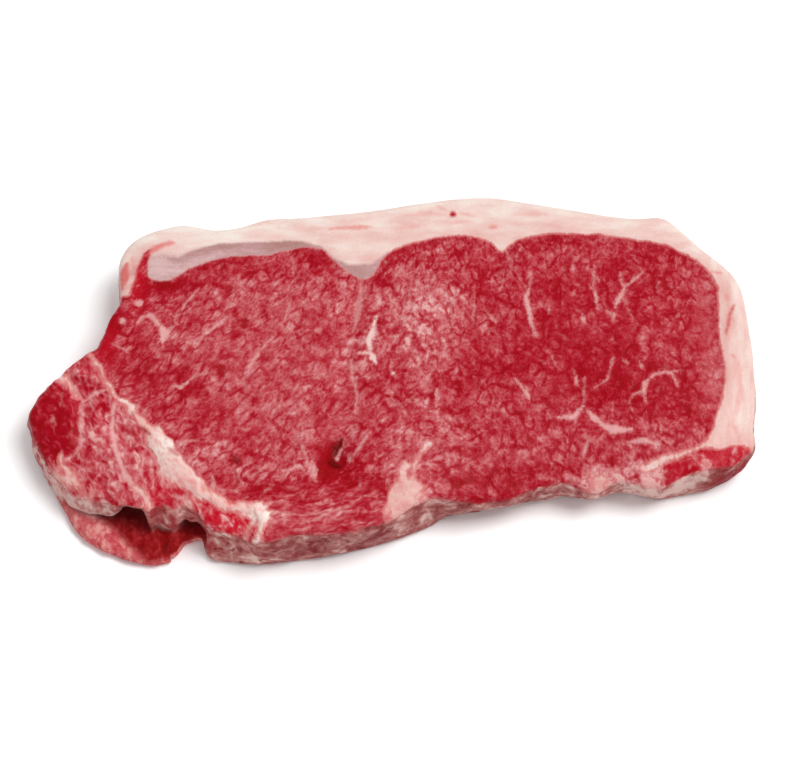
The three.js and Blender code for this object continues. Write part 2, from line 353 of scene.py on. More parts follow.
def wall_rows(height, foot, split):
    """(out, up) of the wall's drawn rows for each edge point, from the cut face to the foot."""
    opened, lip, lip_out, cave = split
    flat = np.zeros_like(height)
    plain = [
        (flat - TOP_ROUND, height),
        (flat - 0.3 * TOP_ROUND, height - 0.25 * TOP_ROUND),
        (flat, height - 0.9 * TOP_ROUND),
        (flat + 0.8 * BULGE, 0.76 * height),
        (flat + BULGE, 0.65 * height),
        (BULGE + 0.2 * foot, 0.54 * height),
        (BULGE + 0.4 * foot, 0.43 * height),
        (0.7 * BULGE + 0.6 * foot, 0.32 * height),
        (0.4 * BULGE + 0.8 * foot, 0.22 * height),
        (foot, 0.12 * height),
        (foot - 0.3 * FOOT_ROUND, 0.03 * height),
        (foot - FOOT_ROUND, flat),
    ]
    under = height - lip
    layered = [
        (flat - TOP_ROUND, height),
        (flat - 0.3 * TOP_ROUND, height - 0.08 * lip),
        (0.3 * lip_out, height - 0.25 * lip),
        (0.8 * lip_out, height - 0.6 * lip),
        (lip_out, 0.05 * height + 0.95 * under),
        (lip_out - 0.5 * cave, under),
        (lip_out - cave, 0.5 * (under + FLAP_HEIGHT)),
        (lip_out - 0.5 * cave, flat + FLAP_HEIGHT + 0.2),
        (0.55 * foot, flat + FLAP_HEIGHT - 0.6),
        (foot - 0.3, flat + 0.56 * FLAP_HEIGHT),
        (foot - 0.3 * FOOT_ROUND, flat + 0.1 * FLAP_HEIGHT),
        (foot - FOOT_ROUND, flat),
    ]
    return (1 - opened) * np.array(plain) + opened * np.array(layered)


print("the wall is drawn in", DRAWN_ROWS, "rows")


# %% A curve through the rows
def through_rows(rows, steps):
    """A smooth curve down through the drawn rows, sampled at `steps` even steps.

    It is a uniform Catmull-Rom curve: a cubic whose slope at a row is half the step between the
    rows on either side of it."""
    last = len(rows) - 1
    t = np.linspace(0, last, steps + 1)
    k = np.minimum(np.floor(t).astype(int), last - 1)
    w = (t - k)[:, None, None]
    before, start, end, after = (rows[np.clip(k + step, 0, last)] for step in (-1, 0, 1, 2))
    return cubic(start, end, (end - before) / 2, (after - start) / 2, w)


print("the plain wall's first row lies", TOP_ROUND, "mm in from the edge")

# %% [markdown]
# ## One closed surface
#
# The steak is one piece of meat, so it is one closed mesh. A cylinder-like wrap would pinch in the
# middle of the face, where the marbling needs the finest mesh. So the face is a grid fitted into
# the rim by blending its four sides, the wall hangs from the grid's border row by row, and a
# coarser grid closes the flat underside, joined to the wall by a ring that steps four to one.

# %% How fine the surface is
ACROSS = 352  # grid steps of the cut face from tail to thick end
DEEP = 188  # and from front to back
DOWN = 24  # rows of the wall
COARSE = 4  # wall steps to one step of the underside
UNDER_INSET = 1.2  # the underside's grid starts this far inside the wall's last row
print("one step of the cut face is about", round(np.ptp(STATIONS[:, 0]) / ACROSS, 2), "mm")


# %% Grids inside a ring of points
def ring_shares(across, deep):
    """Shares of the edge's length at the border points of a grid, clockwise from its back left."""
    counts = (across, deep, across, deep)
    return np.concatenate([
        np.linspace(start, end, count, endpoint=False)
        for start, end, count in zip(CORNER_SHARES[:-1], CORNER_SHARES[1:], counts)
    ])


def ring_places(across, deep):
    """Grid places (column, row) of the border points in the same order."""
    column = np.concatenate([np.arange(across), np.full(deep, across), np.arange(across, 0, -1),
                             np.zeros(deep, int)])
    row = np.concatenate([np.full(across, deep), np.arange(deep, 0, -1), np.zeros(across, int),
                          np.arange(deep)])
    return column, row


def fill_ring(ring, across, deep):
    """A grid inside a ring of points: a Coons patch.

    Each point is the blend of the front and back sides, plus the blend of the left and right
    sides, less the blend of the four corners, which the first two have counted twice."""
    column, row = ring_places(across, deep)
    border = np.zeros((deep + 1, across + 1, 2))
    border[row, column] = ring
    a = np.linspace(0, 1, across + 1)[None, :, None]
    b = np.linspace(0, 1, deep + 1)[:, None, None]
    front, back = border[:1], border[-1:]
    left, right = border[:, :1], border[:, -1:]
    corners = ((front[:, :1] * (1 - a) + front[:, -1:] * a) * (1 - b)
               + (back[:, :1] * (1 - a) + back[:, -1:] * a) * b)
    return front * (1 - b) + back * b + left * (1 - a) + right * a - corners


def grid_faces(across, deep, first):
    """Quads of a grid that starts at vertex `first`, seen from above with their corners turning left."""
    column, row = np.meshgrid(np.arange(across), np.arange(deep))
    corner = first + (row * (across + 1) + column).ravel()
    return np.stack([corner, corner + 1, corner + across + 2, corner + across + 1], axis=1)


share = ring_shares(ACROSS, DEEP)
print(len(share), "points round the rim")

# %% The wall, hung from the edge
edge = edge_at(share)
away = facing_at(share)
rim = edge[:, :2] - TOP_ROUND * away
split = split_at(edge[:, 0], edge[:, 1])
rows = wall_rows(face_height(rim[:, 0], rim[:, 1]), edge[:, 2], split)
rows = through_rows(rows.transpose(0, 2, 1), DOWN)
wall = np.concatenate([edge[:, :2] + rows[..., :1] * away, rows[..., 1:]], axis=2)
wall[-1, :, 2] = 0
print("wall of", wall.shape[0] - 1, "rows by", wall.shape[1], "points")

# %% The cut face and the underside
face_plan = fill_ring(wall[0, :, :2], ACROSS, DEEP)
face = np.dstack([face_plan, face_height(face_plan[..., 0], face_plan[..., 1])])
UNDER_ACROSS = ACROSS // COARSE
UNDER_DEEP = DEEP // COARSE
under_ring = (wall[-1, :, :2] - UNDER_INSET * away)[::COARSE]
under_plan = fill_ring(under_ring, UNDER_ACROSS, UNDER_DEEP)
under = np.dstack([under_plan, np.zeros(under_plan.shape[:2])])
print("cut face", face.shape[1] - 1, "x", face.shape[0] - 1, "quads")

# %% Put them together
ring_count = len(share)
face_count = face.shape[0] * face.shape[1]
wall_count = DOWN * ring_count
body = np.concatenate([face.reshape(-1, 3), wall[1:].reshape(-1, 3), under.reshape(-1, 3)])
column, row = ring_places(ACROSS, DEEP)
around = np.arange(ring_count)
ring_rows = np.concatenate([
    (row * (ACROSS + 1) + column)[None],
    face_count + np.arange(DOWN)[:, None] * ring_count + around,
])
onward = np.roll(ring_rows, -1, axis=1)
wall_quads = np.stack([ring_rows[:-1], onward[:-1], onward[1:], ring_rows[1:]], axis=-1).reshape(-1, 4)

under_first = face_count + wall_count
column, row = ring_places(UNDER_ACROSS, UNDER_DEEP)
coarse = under_first + row * (UNDER_ACROSS + 1) + column
next_coarse = np.roll(coarse, -1)
fine = ring_rows[-1].reshape(-1, COARSE)
next_fine = np.roll(ring_rows[-1], -1).reshape(-1, COARSE)
half = COARSE // 2
stitch = np.concatenate([
    np.stack([fine[:, k], next_fine[:, k], coarse if k < half else next_coarse], axis=1)
    for k in range(COARSE)
] + [np.stack([fine[:, half], next_coarse, coarse], axis=1)])

quads = np.concatenate([
    grid_faces(ACROSS, DEEP, 0),
    wall_quads,
    grid_faces(UNDER_ACROSS, UNDER_DEEP, under_first)[:, ::-1],
])
print(len(body), "points,", 2 * len(quads) + len(stitch), "triangles")

# %% [markdown]
# ## What lies where
#
# Down the wall the layers run straight through the thickness of the cut, so a wall point looks up
# what it is made of at the rim right above it. Every point then gets a depth for each tissue.

# %% Plan place and depth down the wall of every point
plan = np.concatenate([body[:face_count, :2], np.tile(wall[0, :, :2], (DOWN, 1)), body[under_first:, :2]])
down = np.concatenate([
    np.zeros(face_count),
    np.repeat(np.arange(1, DOWN + 1) / DOWN, ring_count),
    np.ones(len(body) - under_first),
])
on_under = np.arange(len(body)) >= under_first
on_face = np.arange(len(body)) < face_count

WANDER = 0.35  # the tissues' edges wander by up to this much, and the ragged ones by twice that
wander = np.stack([lattice_noise(body, 3.0, seed) for seed in (1, 2)], axis=1)
x, y = (plan + WANDER * wander).T
ragged = (plan + 2 * WANDER * wander + 0.4 * np.roll(wander, 1, axis=1)).T
print("tissue is looked up at", len(plan), "points")

# %% [markdown]
# ### Fat
#
# The fat is the cap along the back and right end, the ridge that parts the eye from the tail and
# ends in a frayed tuft, and two lumps on the front edge, the left one with strands that run up into
# the lean. At the right corner a thin strip of fat leads from the cap towards the right lump, and
# lean shows again below it. The tail has one thin sheet of fat in it, a fringe along its front edge
# and a patch.

# %% Fat
FAT_OUTLINE = [
    (-FAR, 21.6), (-79.5, 21.6), (-78.1, 20.6), (-77, 21.4), (-76.2, 24.7), (-75.3, 29.1), (-74.2, 33),
    (-73.2, 35.6), (-71.3, 36.6), (-71.3, 34.4), (-72, 32.4), (-72.1, 30.2), (-71.6, 28.2), (-70.3, 26.9),
    (-68.2, 26.1), (-65.3, 26.4), (-63, 27.7), (-60.1, 29.9), (-55.5, 32), (-50.9, 33.6), (-47.4, 34.5),
    (-42.7, 34.6), (-36.8, 35.1), (-31, 36.7), (-27.4, 37.5), (-24.5, 37.9), (-21, 36.6), (-18, 34),
    (-15.6, 31.1), (-13.2, 29.1), (-10.3, 27.4), (-8, 27.1), (-6.2, 28.2), (-5, 30.4), (-3.9, 32.3),
    (-2, 34.8), (0.5, 37), (5, 38.4), (9.5, 40), (14, 41.3), (21, 41.8), (25.5, 40.8), (29, 39.2),
    (31.2, 36.7), (32.4, 36.4), (34, 38.2), (36.2, 39.8), (40.5, 41.4), (46.5, 42.4), (61, 42), (67, 41),
    (75.5, 39.3), (80.9, 38), (84.3, 36), (88.9, 33), (91.7, 30), (93.8, 26.4), (94.6, 23.4), (94.4, 18.2),
    (94.7, 13), (94.3, 9), (94.5, 5), (95, 1.2), (95.6, -1.5), (95.2, -6.2), (94.5, -11), (93.2, -15.5),
    (91.8, -18.6), (91.2, -21.5), (89.4, -24.3), (87.5, -28), (FAR, -28), (FAR, FAR), (-FAR, FAR),
]
RIDGE = [
    (-87, 1.5, 0.5), (-84.5, -3, 0.5), (-82, -8, 0.6), (-79, -12, 0.7), (-76, -15, 0.8), (-72.5, -18.3, 0.9),
    (-70, -20.8, 1.2), (-67.4, -25, 2.3), (-64.9, -29.5, 3.1), (-61.9, -34, 3.3), (-58.8, -38.2, 2.8),
    (-55.4, -40.6, 2.1), (-52.2, -42.8, 1.6), (-49.2, -45.3, 1.4), (-45, -46.8, 1.5), (-40.5, -47.6, 1.7),
    (-37.4, -48.2, 2),
]
TUFT = [(-37.6, -47.6, 2.2), (-36.4, -49.4, 2.1), (-36.6, -51.8, 1.5), (-37.2, -54.8, 0.8)]
TUFT_HAIRS = [
    [(-37.5, -47, 1), (-36, -45, 0.3)],
    [(-37, -47.6, 1), (-34.5, -46.2, 0.3)],
    [(-36, -49, 1), (-33.6, -48.4, 0.3)],
    [(-36, -50.4, 0.9), (-34, -51.2, 0.3)],
    [(-38.4, -49.6, 0.8), (-40.2, -52.6, 0.3)],
]
FRONT_LUMP = [
    (-1.9, -46), (-1.2, -43), (-0.6, -40.8), (1.2, -39), (3.8, -37.9), (7.6, -38.2), (9.6, -39.4),
    (8.8, -41.2), (5.4, -43.7), (2.6, -46), (0.4, -48.2), (-2.6, -47.8),
]
LUMP_STRANDS = [
    [(3, -38.5, 1.4), (2.4, -35.4, 1.1), (3.6, -33.8, 1.2), (5, -33.6, 0.6)],
    [(5.1, -37.6, 0.6), (6.1, -33.7, 0.5), (7.7, -31.5, 0.4), (8.3, -29.3, 0.4), (9.6, -27.4, 0.9)],
]
RIGHT_LUMP = [
    (54.6, -34.7), (56.9, -35.7), (58.6, -35.2), (60.5, -36.2), (62.8, -37.5), (60.8, -39.3), (58, -39.8),
    (55.7, -39), (56.3, -37.2),
]
CORNER_STRIP = [
    (69.8, -33.6, 0.8), (71.3, -32.9, 1.2), (74.2, -32.2, 1.2), (77.4, -31, 0.8), (80.6, -29.7, 0.65),
    (83.8, -28.6, 0.6), (87.3, -27.7, 0.7), (90, -26, 0.8),
]
CORNER_LEAN = [
    [(77.2, -35.4, 0.4), (78.6, -34.2, 0.8), (80.8, -33.1, 0.9), (83.3, -32.2, 0.9), (86, -31.4, 0.6)],
    [(88.9, -30.2, 0.5), (91.3, -29.3, 1), (94.5, -28.5, 1.3), (97.8, -27.8, 1.4), (101.3, -27.3, 1.5),
     (103.6, -26.6, 1.2)],
]
TAIL_SHEET = [(-96.5, -2.5, 0.8), (-94, -6, 0.5), (-92, -9.5, 0.3), (-90, -11.8, 0.4)]
TAIL_FRINGE = [
    (-94.4, -28.4, 0.5), (-94, -31, 0.9), (-92.6, -33.8, 1.1), (-90.5, -36.4, 1.1), (-87.4, -38.8, 1),
    (-83.6, -41, 0.8), (-78.5, -42.6, 0.5),
]
TAIL_PATCH = [(-73.2, -38.4, 0.5), (-71, -39.8, 1.1), (-69, -41.8, 1.2)]

print("the cap is drawn with", len(FAT_OUTLINE), "points and the ridge with", len(RIDGE))

# %% How deep every point lies in the fat
cap_depth = depth_in(x, y, FAT_OUTLINE)
ridge_depth = stroke(*ragged, RIDGE)
tuft_depth = strokes(*ragged, [TUFT, *TUFT_HAIRS])
lump_depth = np.max([
    depth_in(*ragged, FRONT_LUMP),
    depth_in(*ragged, RIGHT_LUMP),
    strokes(*ragged, [*LUMP_STRANDS, CORNER_STRIP]),
], axis=0)
sheet_depth = stroke(*ragged, TAIL_SHEET)
fringe_depth = strokes(*ragged, [TAIL_FRINGE, TAIL_PATCH])
corner_lean = strokes(*ragged, CORNER_LEAN)
fat_depth = np.max([cap_depth, ridge_depth, tuft_depth, lump_depth, sheet_depth, fringe_depth], axis=0)
fat_depth = np.minimum(fat_depth, -corner_lean)
in_tail = depth_in(*plan.T, TAIL_REGION)

# How far the fat's edge frays into the lean, in millimetres: furthest on the tail and at the lumps
fray = 0.34 + 0.8 * smooth((in_tail + 0.5) / 3) + 0.5 * bell(np.minimum(lump_depth, 0), 2)
# How much red is left in the fat, across edges this soft
RED_EDGE = 1.5
red_left = 0.55 * inside(ridge_depth, RED_EDGE) * smooth((in_tail + 1) / 3)
red_left += 0.6 * inside(fringe_depth, RED_EDGE) + 0.35 * inside(lump_depth, RED_EDGE)
red_left += 0.4 * inside(sheet_depth, RED_EDGE)
print(f"fat on {np.mean(fat_depth[on_face] > 0):.0%} of the cut face")

# %% [markdown]
# ### Silverskin
#
# Between the cap and the left muscle runs a band of greyish connective tissue. It is widest at its
# rounded left end, pinches out near the middle and shows again where two muscles meet.

# %% Silverskin
SILVER_OUTLINE = [
    (-72.8, 30), (-72.6, 33), (-71.2, 35), (-69.5, 35.7), (-66.8, 35.9), (-65, 34.9), (-63.4, 34.2),
    (-60.9, 35.4), (-56.8, 37.4), (-51, 38.7), (-45.1, 39.3), (-36.3, 39.6), (-30.4, 40.2), (-24.5, 39.3),
    (-21.6, 38.1), (-18.6, 35.9), (-15.6, 33.8), (-12.7, 32.3), (-9.7, 31.6), (-6.8, 31.7), (-3.9, 33.8),
    (-1.5, 36), (-1, 36.6), (-2, 33), (-5, 26), (-10, 25), (-14, 28), (-20, 34), (-30, 34), (-45, 32),
    (-60, 25), (-68, 24), (-72.5, 26),
]
SILVER_SPOTS = [(-68.5, 30.5, 6, 6, 0.3), (-32, 38.6, 8, 2.4, -0.42), (-10, 29.5, 8, 3, -0.16)]
SILVER_SHADE = [(-64.5, 32.8), (-60.5, 34), (-56.5, 36), (-50.5, 37.4), (-45, 38)]
SILVER_LIGHT = [(-63, 29.2), (-59, 31.2), (-55, 33.2), (-50.5, 34.8)]

# its edge is softest round the left end, it lies only on the fat, and it pinches out at X = -15
soft_lobe = 1 - 0.55 * bell(x + 67, 8)
silver_depth = np.minimum(depth_in(x, y, SILVER_OUTLINE) * soft_lobe, 2.5 * (cap_depth + 0.15))
silver_depth = silver_depth - 0.7 * bell(x + 15, 4)
# a fold along it gets painted shade on one side and a painted highlight on the other
silver_tone_and_shade = spotted(x, y, SILVER_SPOTS)
silver_tone_and_shade = silver_tone_and_shade - 0.22 * bell(off_line(x, y, SILVER_SHADE), 1.3)
silver_tone_and_shade = silver_tone_and_shade + 0.12 * bell(off_line(x, y, SILVER_LIGHT), 1.1)
print(f"silverskin on {np.mean(silver_depth[on_face] > 0):.1%} of the cut face")

# %% [markdown]
# ### Marbling
#
# The marbling is veins of fat between bundles of muscle fibre. The ones that catch the eye are set
# one by one, as half width, whiteness and a few points, because a steak is recognised by them. The
# hundreds of flecks between them follow a rule: short strokes laid along the grain, drawn with a
# seeded generator.

# %% Veins of the left muscle
LEFT_VEINS = [
    (0.7, 0.75, (-73.4, 13.8), (-70.6, 14.8), (-68.6, 12.8), (-66.6, 10)),
    (1.4, 1, (-67.2, 11), (-65.9, 8.6), (-66.5, 5.6)),
    (0.5, 0.55, (-65.9, 9.2), (-63.3, 11)),
    (0.35, 0.6, (-81, 5), (-78.5, 3.5), (-76, 2)),
    (0.3, 0.5, (-77, 2.5), (-75.5, 4.5)),
    (0.35, 0.55, (-57, 23.5), (-61, 17.5)),
    (0.4, 0.8, (-48.5, 14), (-50.5, 11.5), (-55, 7.5)),
    (0.35, 0.6, (-29.5, 19), (-31.5, 12.5)),
    (0.4, 0.7, (-35, 7), (-40, 0), (-42, -5)),
    (0.35, 0.4, (-42, -5), (-44, -8.5)),
    (0.45, 0.9, (-62.5, -8.5), (-60.5, -9.5), (-56.5, -5.5)),
    (0.3, 0.4, (-56.5, -5.5), (-50.5, -4.5)),
    (0.7, 0.6, (-51.5, -6.5), (-50.5, -7.5)),
    (0.45, 0.55, (-47.5, -9), (-46, -10.5)),
    (0.4, 0.55, (-37, -9.5), (-35.5, -8.5)),
    (0.45, 0.8, (-25.5, -10.3), (-24, -9)),
    (0.9, 0.9, (-78.6, 12.8), (-78.2, 12.2)),
    (1.2, 0.8, (-74.5, 19), (-73.8, 18.4)),
    (0.7, 0.5, (-49, -27.5), (-47, -26.5)),
    (0.5, 0.8, (-25, -29.5), (-23, -36.5), (-21.5, -39)),
    (0.7, 0.8, (-22.5, -31.5), (-22, -38.5)),
    (0.6, 0.8, (-31, -36), (-26, -34.5), (-24.5, -36)),
    (0.4, 0.6, (-39.5, -37.5), (-35, -33.5)),
    (0.7, 0.6, (-50.5, -37.5), (-50.5, -43)),
    (0.4, 0.5, (-61.5, -27), (-55, -26.5)),
    (0.5, 0.5, (-59, -28.5), (-60, -31)),
    (0.5, 0.35, (-26, -49.5), (-15, -47.5), (-11.5, -46)),
    (0.6, 0.5, (-32.5, -49), (-27, -49)),
    (0.5, 0.5, (-23.5, -51.5), (-18, -48.5)),
]
print(len(LEFT_VEINS), "veins")

# %% Veins of the middle muscle, and the seam on its left
CENTRE_VEINS = [
    (0.7, 1.3, (-5, 14), (-7, 5.5), (-6.5, 2)),
    (0.9, 1.3, (-6.5, 2), (-5, -1.5)),
    (0.6, 1.1, (-10.5, 2), (-6.5, 2)),
    (0.5, 0.7, (-13.5, 4.5), (-11.5, 6.5), (-7, 5)),
    (0.35, 0.6, (-13.5, 4.5), (-14, 1.5)),
    (0.35, 0.8, (-12.5, 1.5), (-12, -2), (-10.5, -10.5), (-11, -17)),
    (0.9, 0.42, (-9.3, 26), (-9.8, 20), (-10.3, 15), (-11.5, 10)),
    (0.5, 0.9, (-4, 19), (-3.7, 18.3)),
    (0.6, 1.2, (0, -4.5), (0.4, -5)),
    (0.4, 0.7, (1.5, 29.5), (2, 28.5)),
    (0.45, 0.7, (13, 23.5), (13.5, 22.6)),
    (0.4, 0.6, (11, 17), (11.6, 16)),
    (0.45, 0.7, (5, 9.5), (9, 8.5)),
    (0.35, 0.5, (15.1, 18.9), (16.5, 17.9), (17.1, 14.9)),
    (0.3, 0.45, (11.8, 2), (13.5, 0.7), (15.2, 2.7)),
    (0.3, 0.4, (11.3, 14.7), (13.6, 13.4), (14.7, 10.8), (13, 9)),
    (0.3, 0.35, (1.4, 19.6), (0.8, 15.5), (1.4, 12)),
    (0.35, 0.6, (5.5, 3), (8, -2)),
    (0.6, 0.9, (12.5, -10), (13, -13.5)),
    (0.35, 0.5, (1.5, -14), (4.5, -19.5)),
    (0.45, 0.7, (-7, -24.5), (-11, -30.5)),
    (0.6, 0.8, (-12.5, -30.5), (-12, -32.5)),
    (0.3, 0.4, (21, 31), (20, 27)),
    (0.3, 0.5, (23.5, 19.5), (23.5, 12.5)),
    (0.4, 0.5, (26.5, 16.5), (30, 12.5)),
    (0.35, 0.35, (31.5, 40), (35, 33)),
]
print(len(CENTRE_VEINS), "veins")

# %% Veins of the right muscle
RIGHT_VEINS = [
    (0.35, 0.7, (40.5, 28.5), (39.5, 23.5)),
    (0.6, 1, (39.5, 23.5), (38.5, 20.5), (40, 12), (41, 8)),
    (0.35, 0.67, (59, 31.5), (58.5, 24.5)),
    (0.55, 0.77, (58.5, 24.5), (59.5, 16)),
    (0.5, 0.77, (73, 29), (68.5, 24.5)),
    (0.7, 0.87, (68.5, 25), (65.5, 19), (64.5, 17)),
    (0.35, 0.6, (67, 24.5), (66.5, 29)),
    (0.6, 0.82, (62, 15.5), (64, 14.5), (63.5, 12.5)),
    (0.7, 0.77, (55, 14.5), (55.5, 12)),
    (0.4, 0.6, (45.5, 16.5), (45.5, 14.5)),
    (0.6, 1, (35, -6.5), (38.5, -11.5), (39, -13)),
    (0.5, 0.82, (52.5, -5.5), (53, -9)),
    (0.3, 0.5, (51.5, -3), (52.5, -5.5)),
    (0.45, 0.67, (63.5, 0.5), (62.5, -2.5)),
    (0.3, 0.6, (62.5, -2.5), (61.5, -6.5), (58, -9)),
    (0.6, 0.77, (71, -1), (71.5, -3.5)),
    (0.3, 0.6, (71.5, 7.5), (72, 5.5)),
    (0.65, 0.87, (72, -13.5), (71.5, -11), (72, -8), (73.5, -6.5)),
    (0.5, 0.77, (73.5, -6.5), (75.5, -5), (78, -4), (80, -4.5), (81.5, -8.5)),
    (0.4, 0.6, (71.5, -10), (69, -11.5)),
    (0.35, 0.6, (79.5, -4), (83, -3.5)),
    (0.8, 0.95, (47, -18.6), (51.3, -18.7), (54.4, -15.2)),
    (0.3, 0.5, (52.5, -18.5), (51.5, -21)),
    (0.9, 0.87, (55.2, -16.8), (57.6, -19.4), (60.7, -21.9)),
    (1.3, 0.87, (59.2, -21), (62.5, -22.6), (67.4, -22.7)),
    (0.4, 0.67, (66.5, -22.5), (67, -24)),
    (0.8, 0.77, (66.7, -26.6), (71.2, -25.8), (75.4, -26.9)),
    (0.45, 0.7, (67, -26.5), (67.5, -28)),
    (0.5, 0.67, (55.5, -24.5), (54, -30.5)),
    (0.35, 0.6, (46, 1), (47, -2.5)),
    (0.4, 0.6, (66, -0.5), (67.5, -2)),
    (0.35, 0.5, (55, -6), (54.5, -14.5)),
    (0.3, 0.4, (71.5, -27), (73.5, -25.5)),
]
print(len(RIGHT_VEINS), "veins")

# %% Veins of the tail, and the cut vessel
TAIL_VEINS = [
    (0.7, 0.9, (-86, -22.7), (-84.5, -24.2), (-82.8, -24)),
    (0.3, 0.6, (-76, -33.5), (-74, -39)),
    (0.35, 0.5, (-97.5, -16), (-96.5, -19)),
    (0.3, 0.4, (-95, -9), (-95, -13)),
    (0.7, 0.9, (-95.4, -3.7), (-92, -8), (-88.7, -12.4)),
    (0.6, 0.75, (-89.2, -12.6), (-85.5, -10.3), (-81, -9.7)),
    (0.55, 0.55, (-89.3, -11.8), (-89, -18.2), (-89.1, -25.1), (-91, -28.6)),
    (0.6, 0.95, (-79.4, -13.5), (-80.1, -20.5), (-78.9, -27.3), (-76.3, -34.2), (-72.8, -39.7),
     (-68.3, -42.8)),
]
VESSEL = [(-14.9, -27.7, 0.5), (-15.9, -30.6, 0.45)]
VEINS = LEFT_VEINS + CENTRE_VEINS + RIGHT_VEINS + TAIL_VEINS
print(len(VEINS), "veins set by hand")


# %% Tapered strokes
def tapered(half_width, points):
    """A stroke through the points that thins to a third of its half width at both ends.

    Two points get a third between them, where the stroke is widest."""
    widths = [half_width] * len(points)
    widths[0] = widths[-1] = half_width / 3
    if len(points) == 2:
        middle = tuple((a + b) / 2 for a, b in zip(*points))
        return [(*points[0], widths[0]), (*middle, half_width), (*points[1], widths[1])]
    return [(*point, width) for point, width in zip(points, widths)]


def deepest(x, y, lines):
    """Depth in the deepest of several (half width, strength, points...) strokes, and its strength."""
    depth = np.full(x.shape, -FAR)
    strength = np.zeros(x.shape)
    for half_width, its_strength, *points in lines:
        its_depth = stroke(x, y, tapered(half_width, points))
        strength = np.where(its_depth > depth, its_strength, strength)
        depth = np.maximum(depth, its_depth)
    return depth, strength


print("a vein ends as", [round(width, 2) for *_, width in tapered(0.6, [(0, 0), (1, 0)])], "mm")

# %% Flecks along the grain
GRAIN_LEAN = np.array([(-90, 0.5), (-20, 0.3), (25, 0), (90, -0.1)])  # x, and X gained a step of Y


def grain_lean(x):
    """How far the fibre bundles lean to the right for each millimetre towards the back."""
    return np.interp(x, GRAIN_LEAN[:, 0], GRAIN_LEAN[:, 1])


FLECKS = 170
draw = np.random.default_rng(7)
# place, half length, lean to the right, half width and whiteness of each
fleck_x = draw.uniform(-98, 92, FLECKS)
fleck_y = draw.uniform(-50, 40, FLECKS)
fleck_reach = draw.uniform(0.3, 1.6, FLECKS)
fleck_tilt = 1.6 * grain_lean(fleck_x) + draw.normal(0, 0.5, FLECKS)
fleck_half_width = draw.uniform(0.15, 0.4, FLECKS)
fleck_whiteness = draw.uniform(0.15, 0.6, FLECKS)
flecks = [
    (width, white, (fx - tilt * reach, fy - reach), (fx + tilt * reach, fy + reach))
    for width, white, fx, fy, tilt, reach in zip(
        fleck_half_width, fleck_whiteness, fleck_x, fleck_y, fleck_tilt, fleck_reach)
]
print(FLECKS, "flecks by rule")

# %% How deep every point lies in a vein
VESSEL_WHITENESS = 0.9


def cut_sides_only(depth):
    """The depth, kept above -3, and outside every mark on the underside."""
    return np.where(on_under, -2.0, np.maximum(depth, -3.0))


vein_depth, vein_white = deepest(x, y, VEINS + flecks)
vessel_depth = stroke(x, y, VESSEL)
vein_white = np.where(vessel_depth > vein_depth, VESSEL_WHITENESS, vein_white)
vein_depth = cut_sides_only(np.maximum(vein_depth, vessel_depth))
print(f"veins on {np.mean(vein_depth[on_face] > 0):.1%} of the cut face")

# %% [markdown]
# ### Creases and blood
#
# Dark marks are of two kinds. Creases open between fibre bundles where the knife dragged, and pits
# are cut vessels with a halo of deeper red. In the fat a few streaks are stained pink.

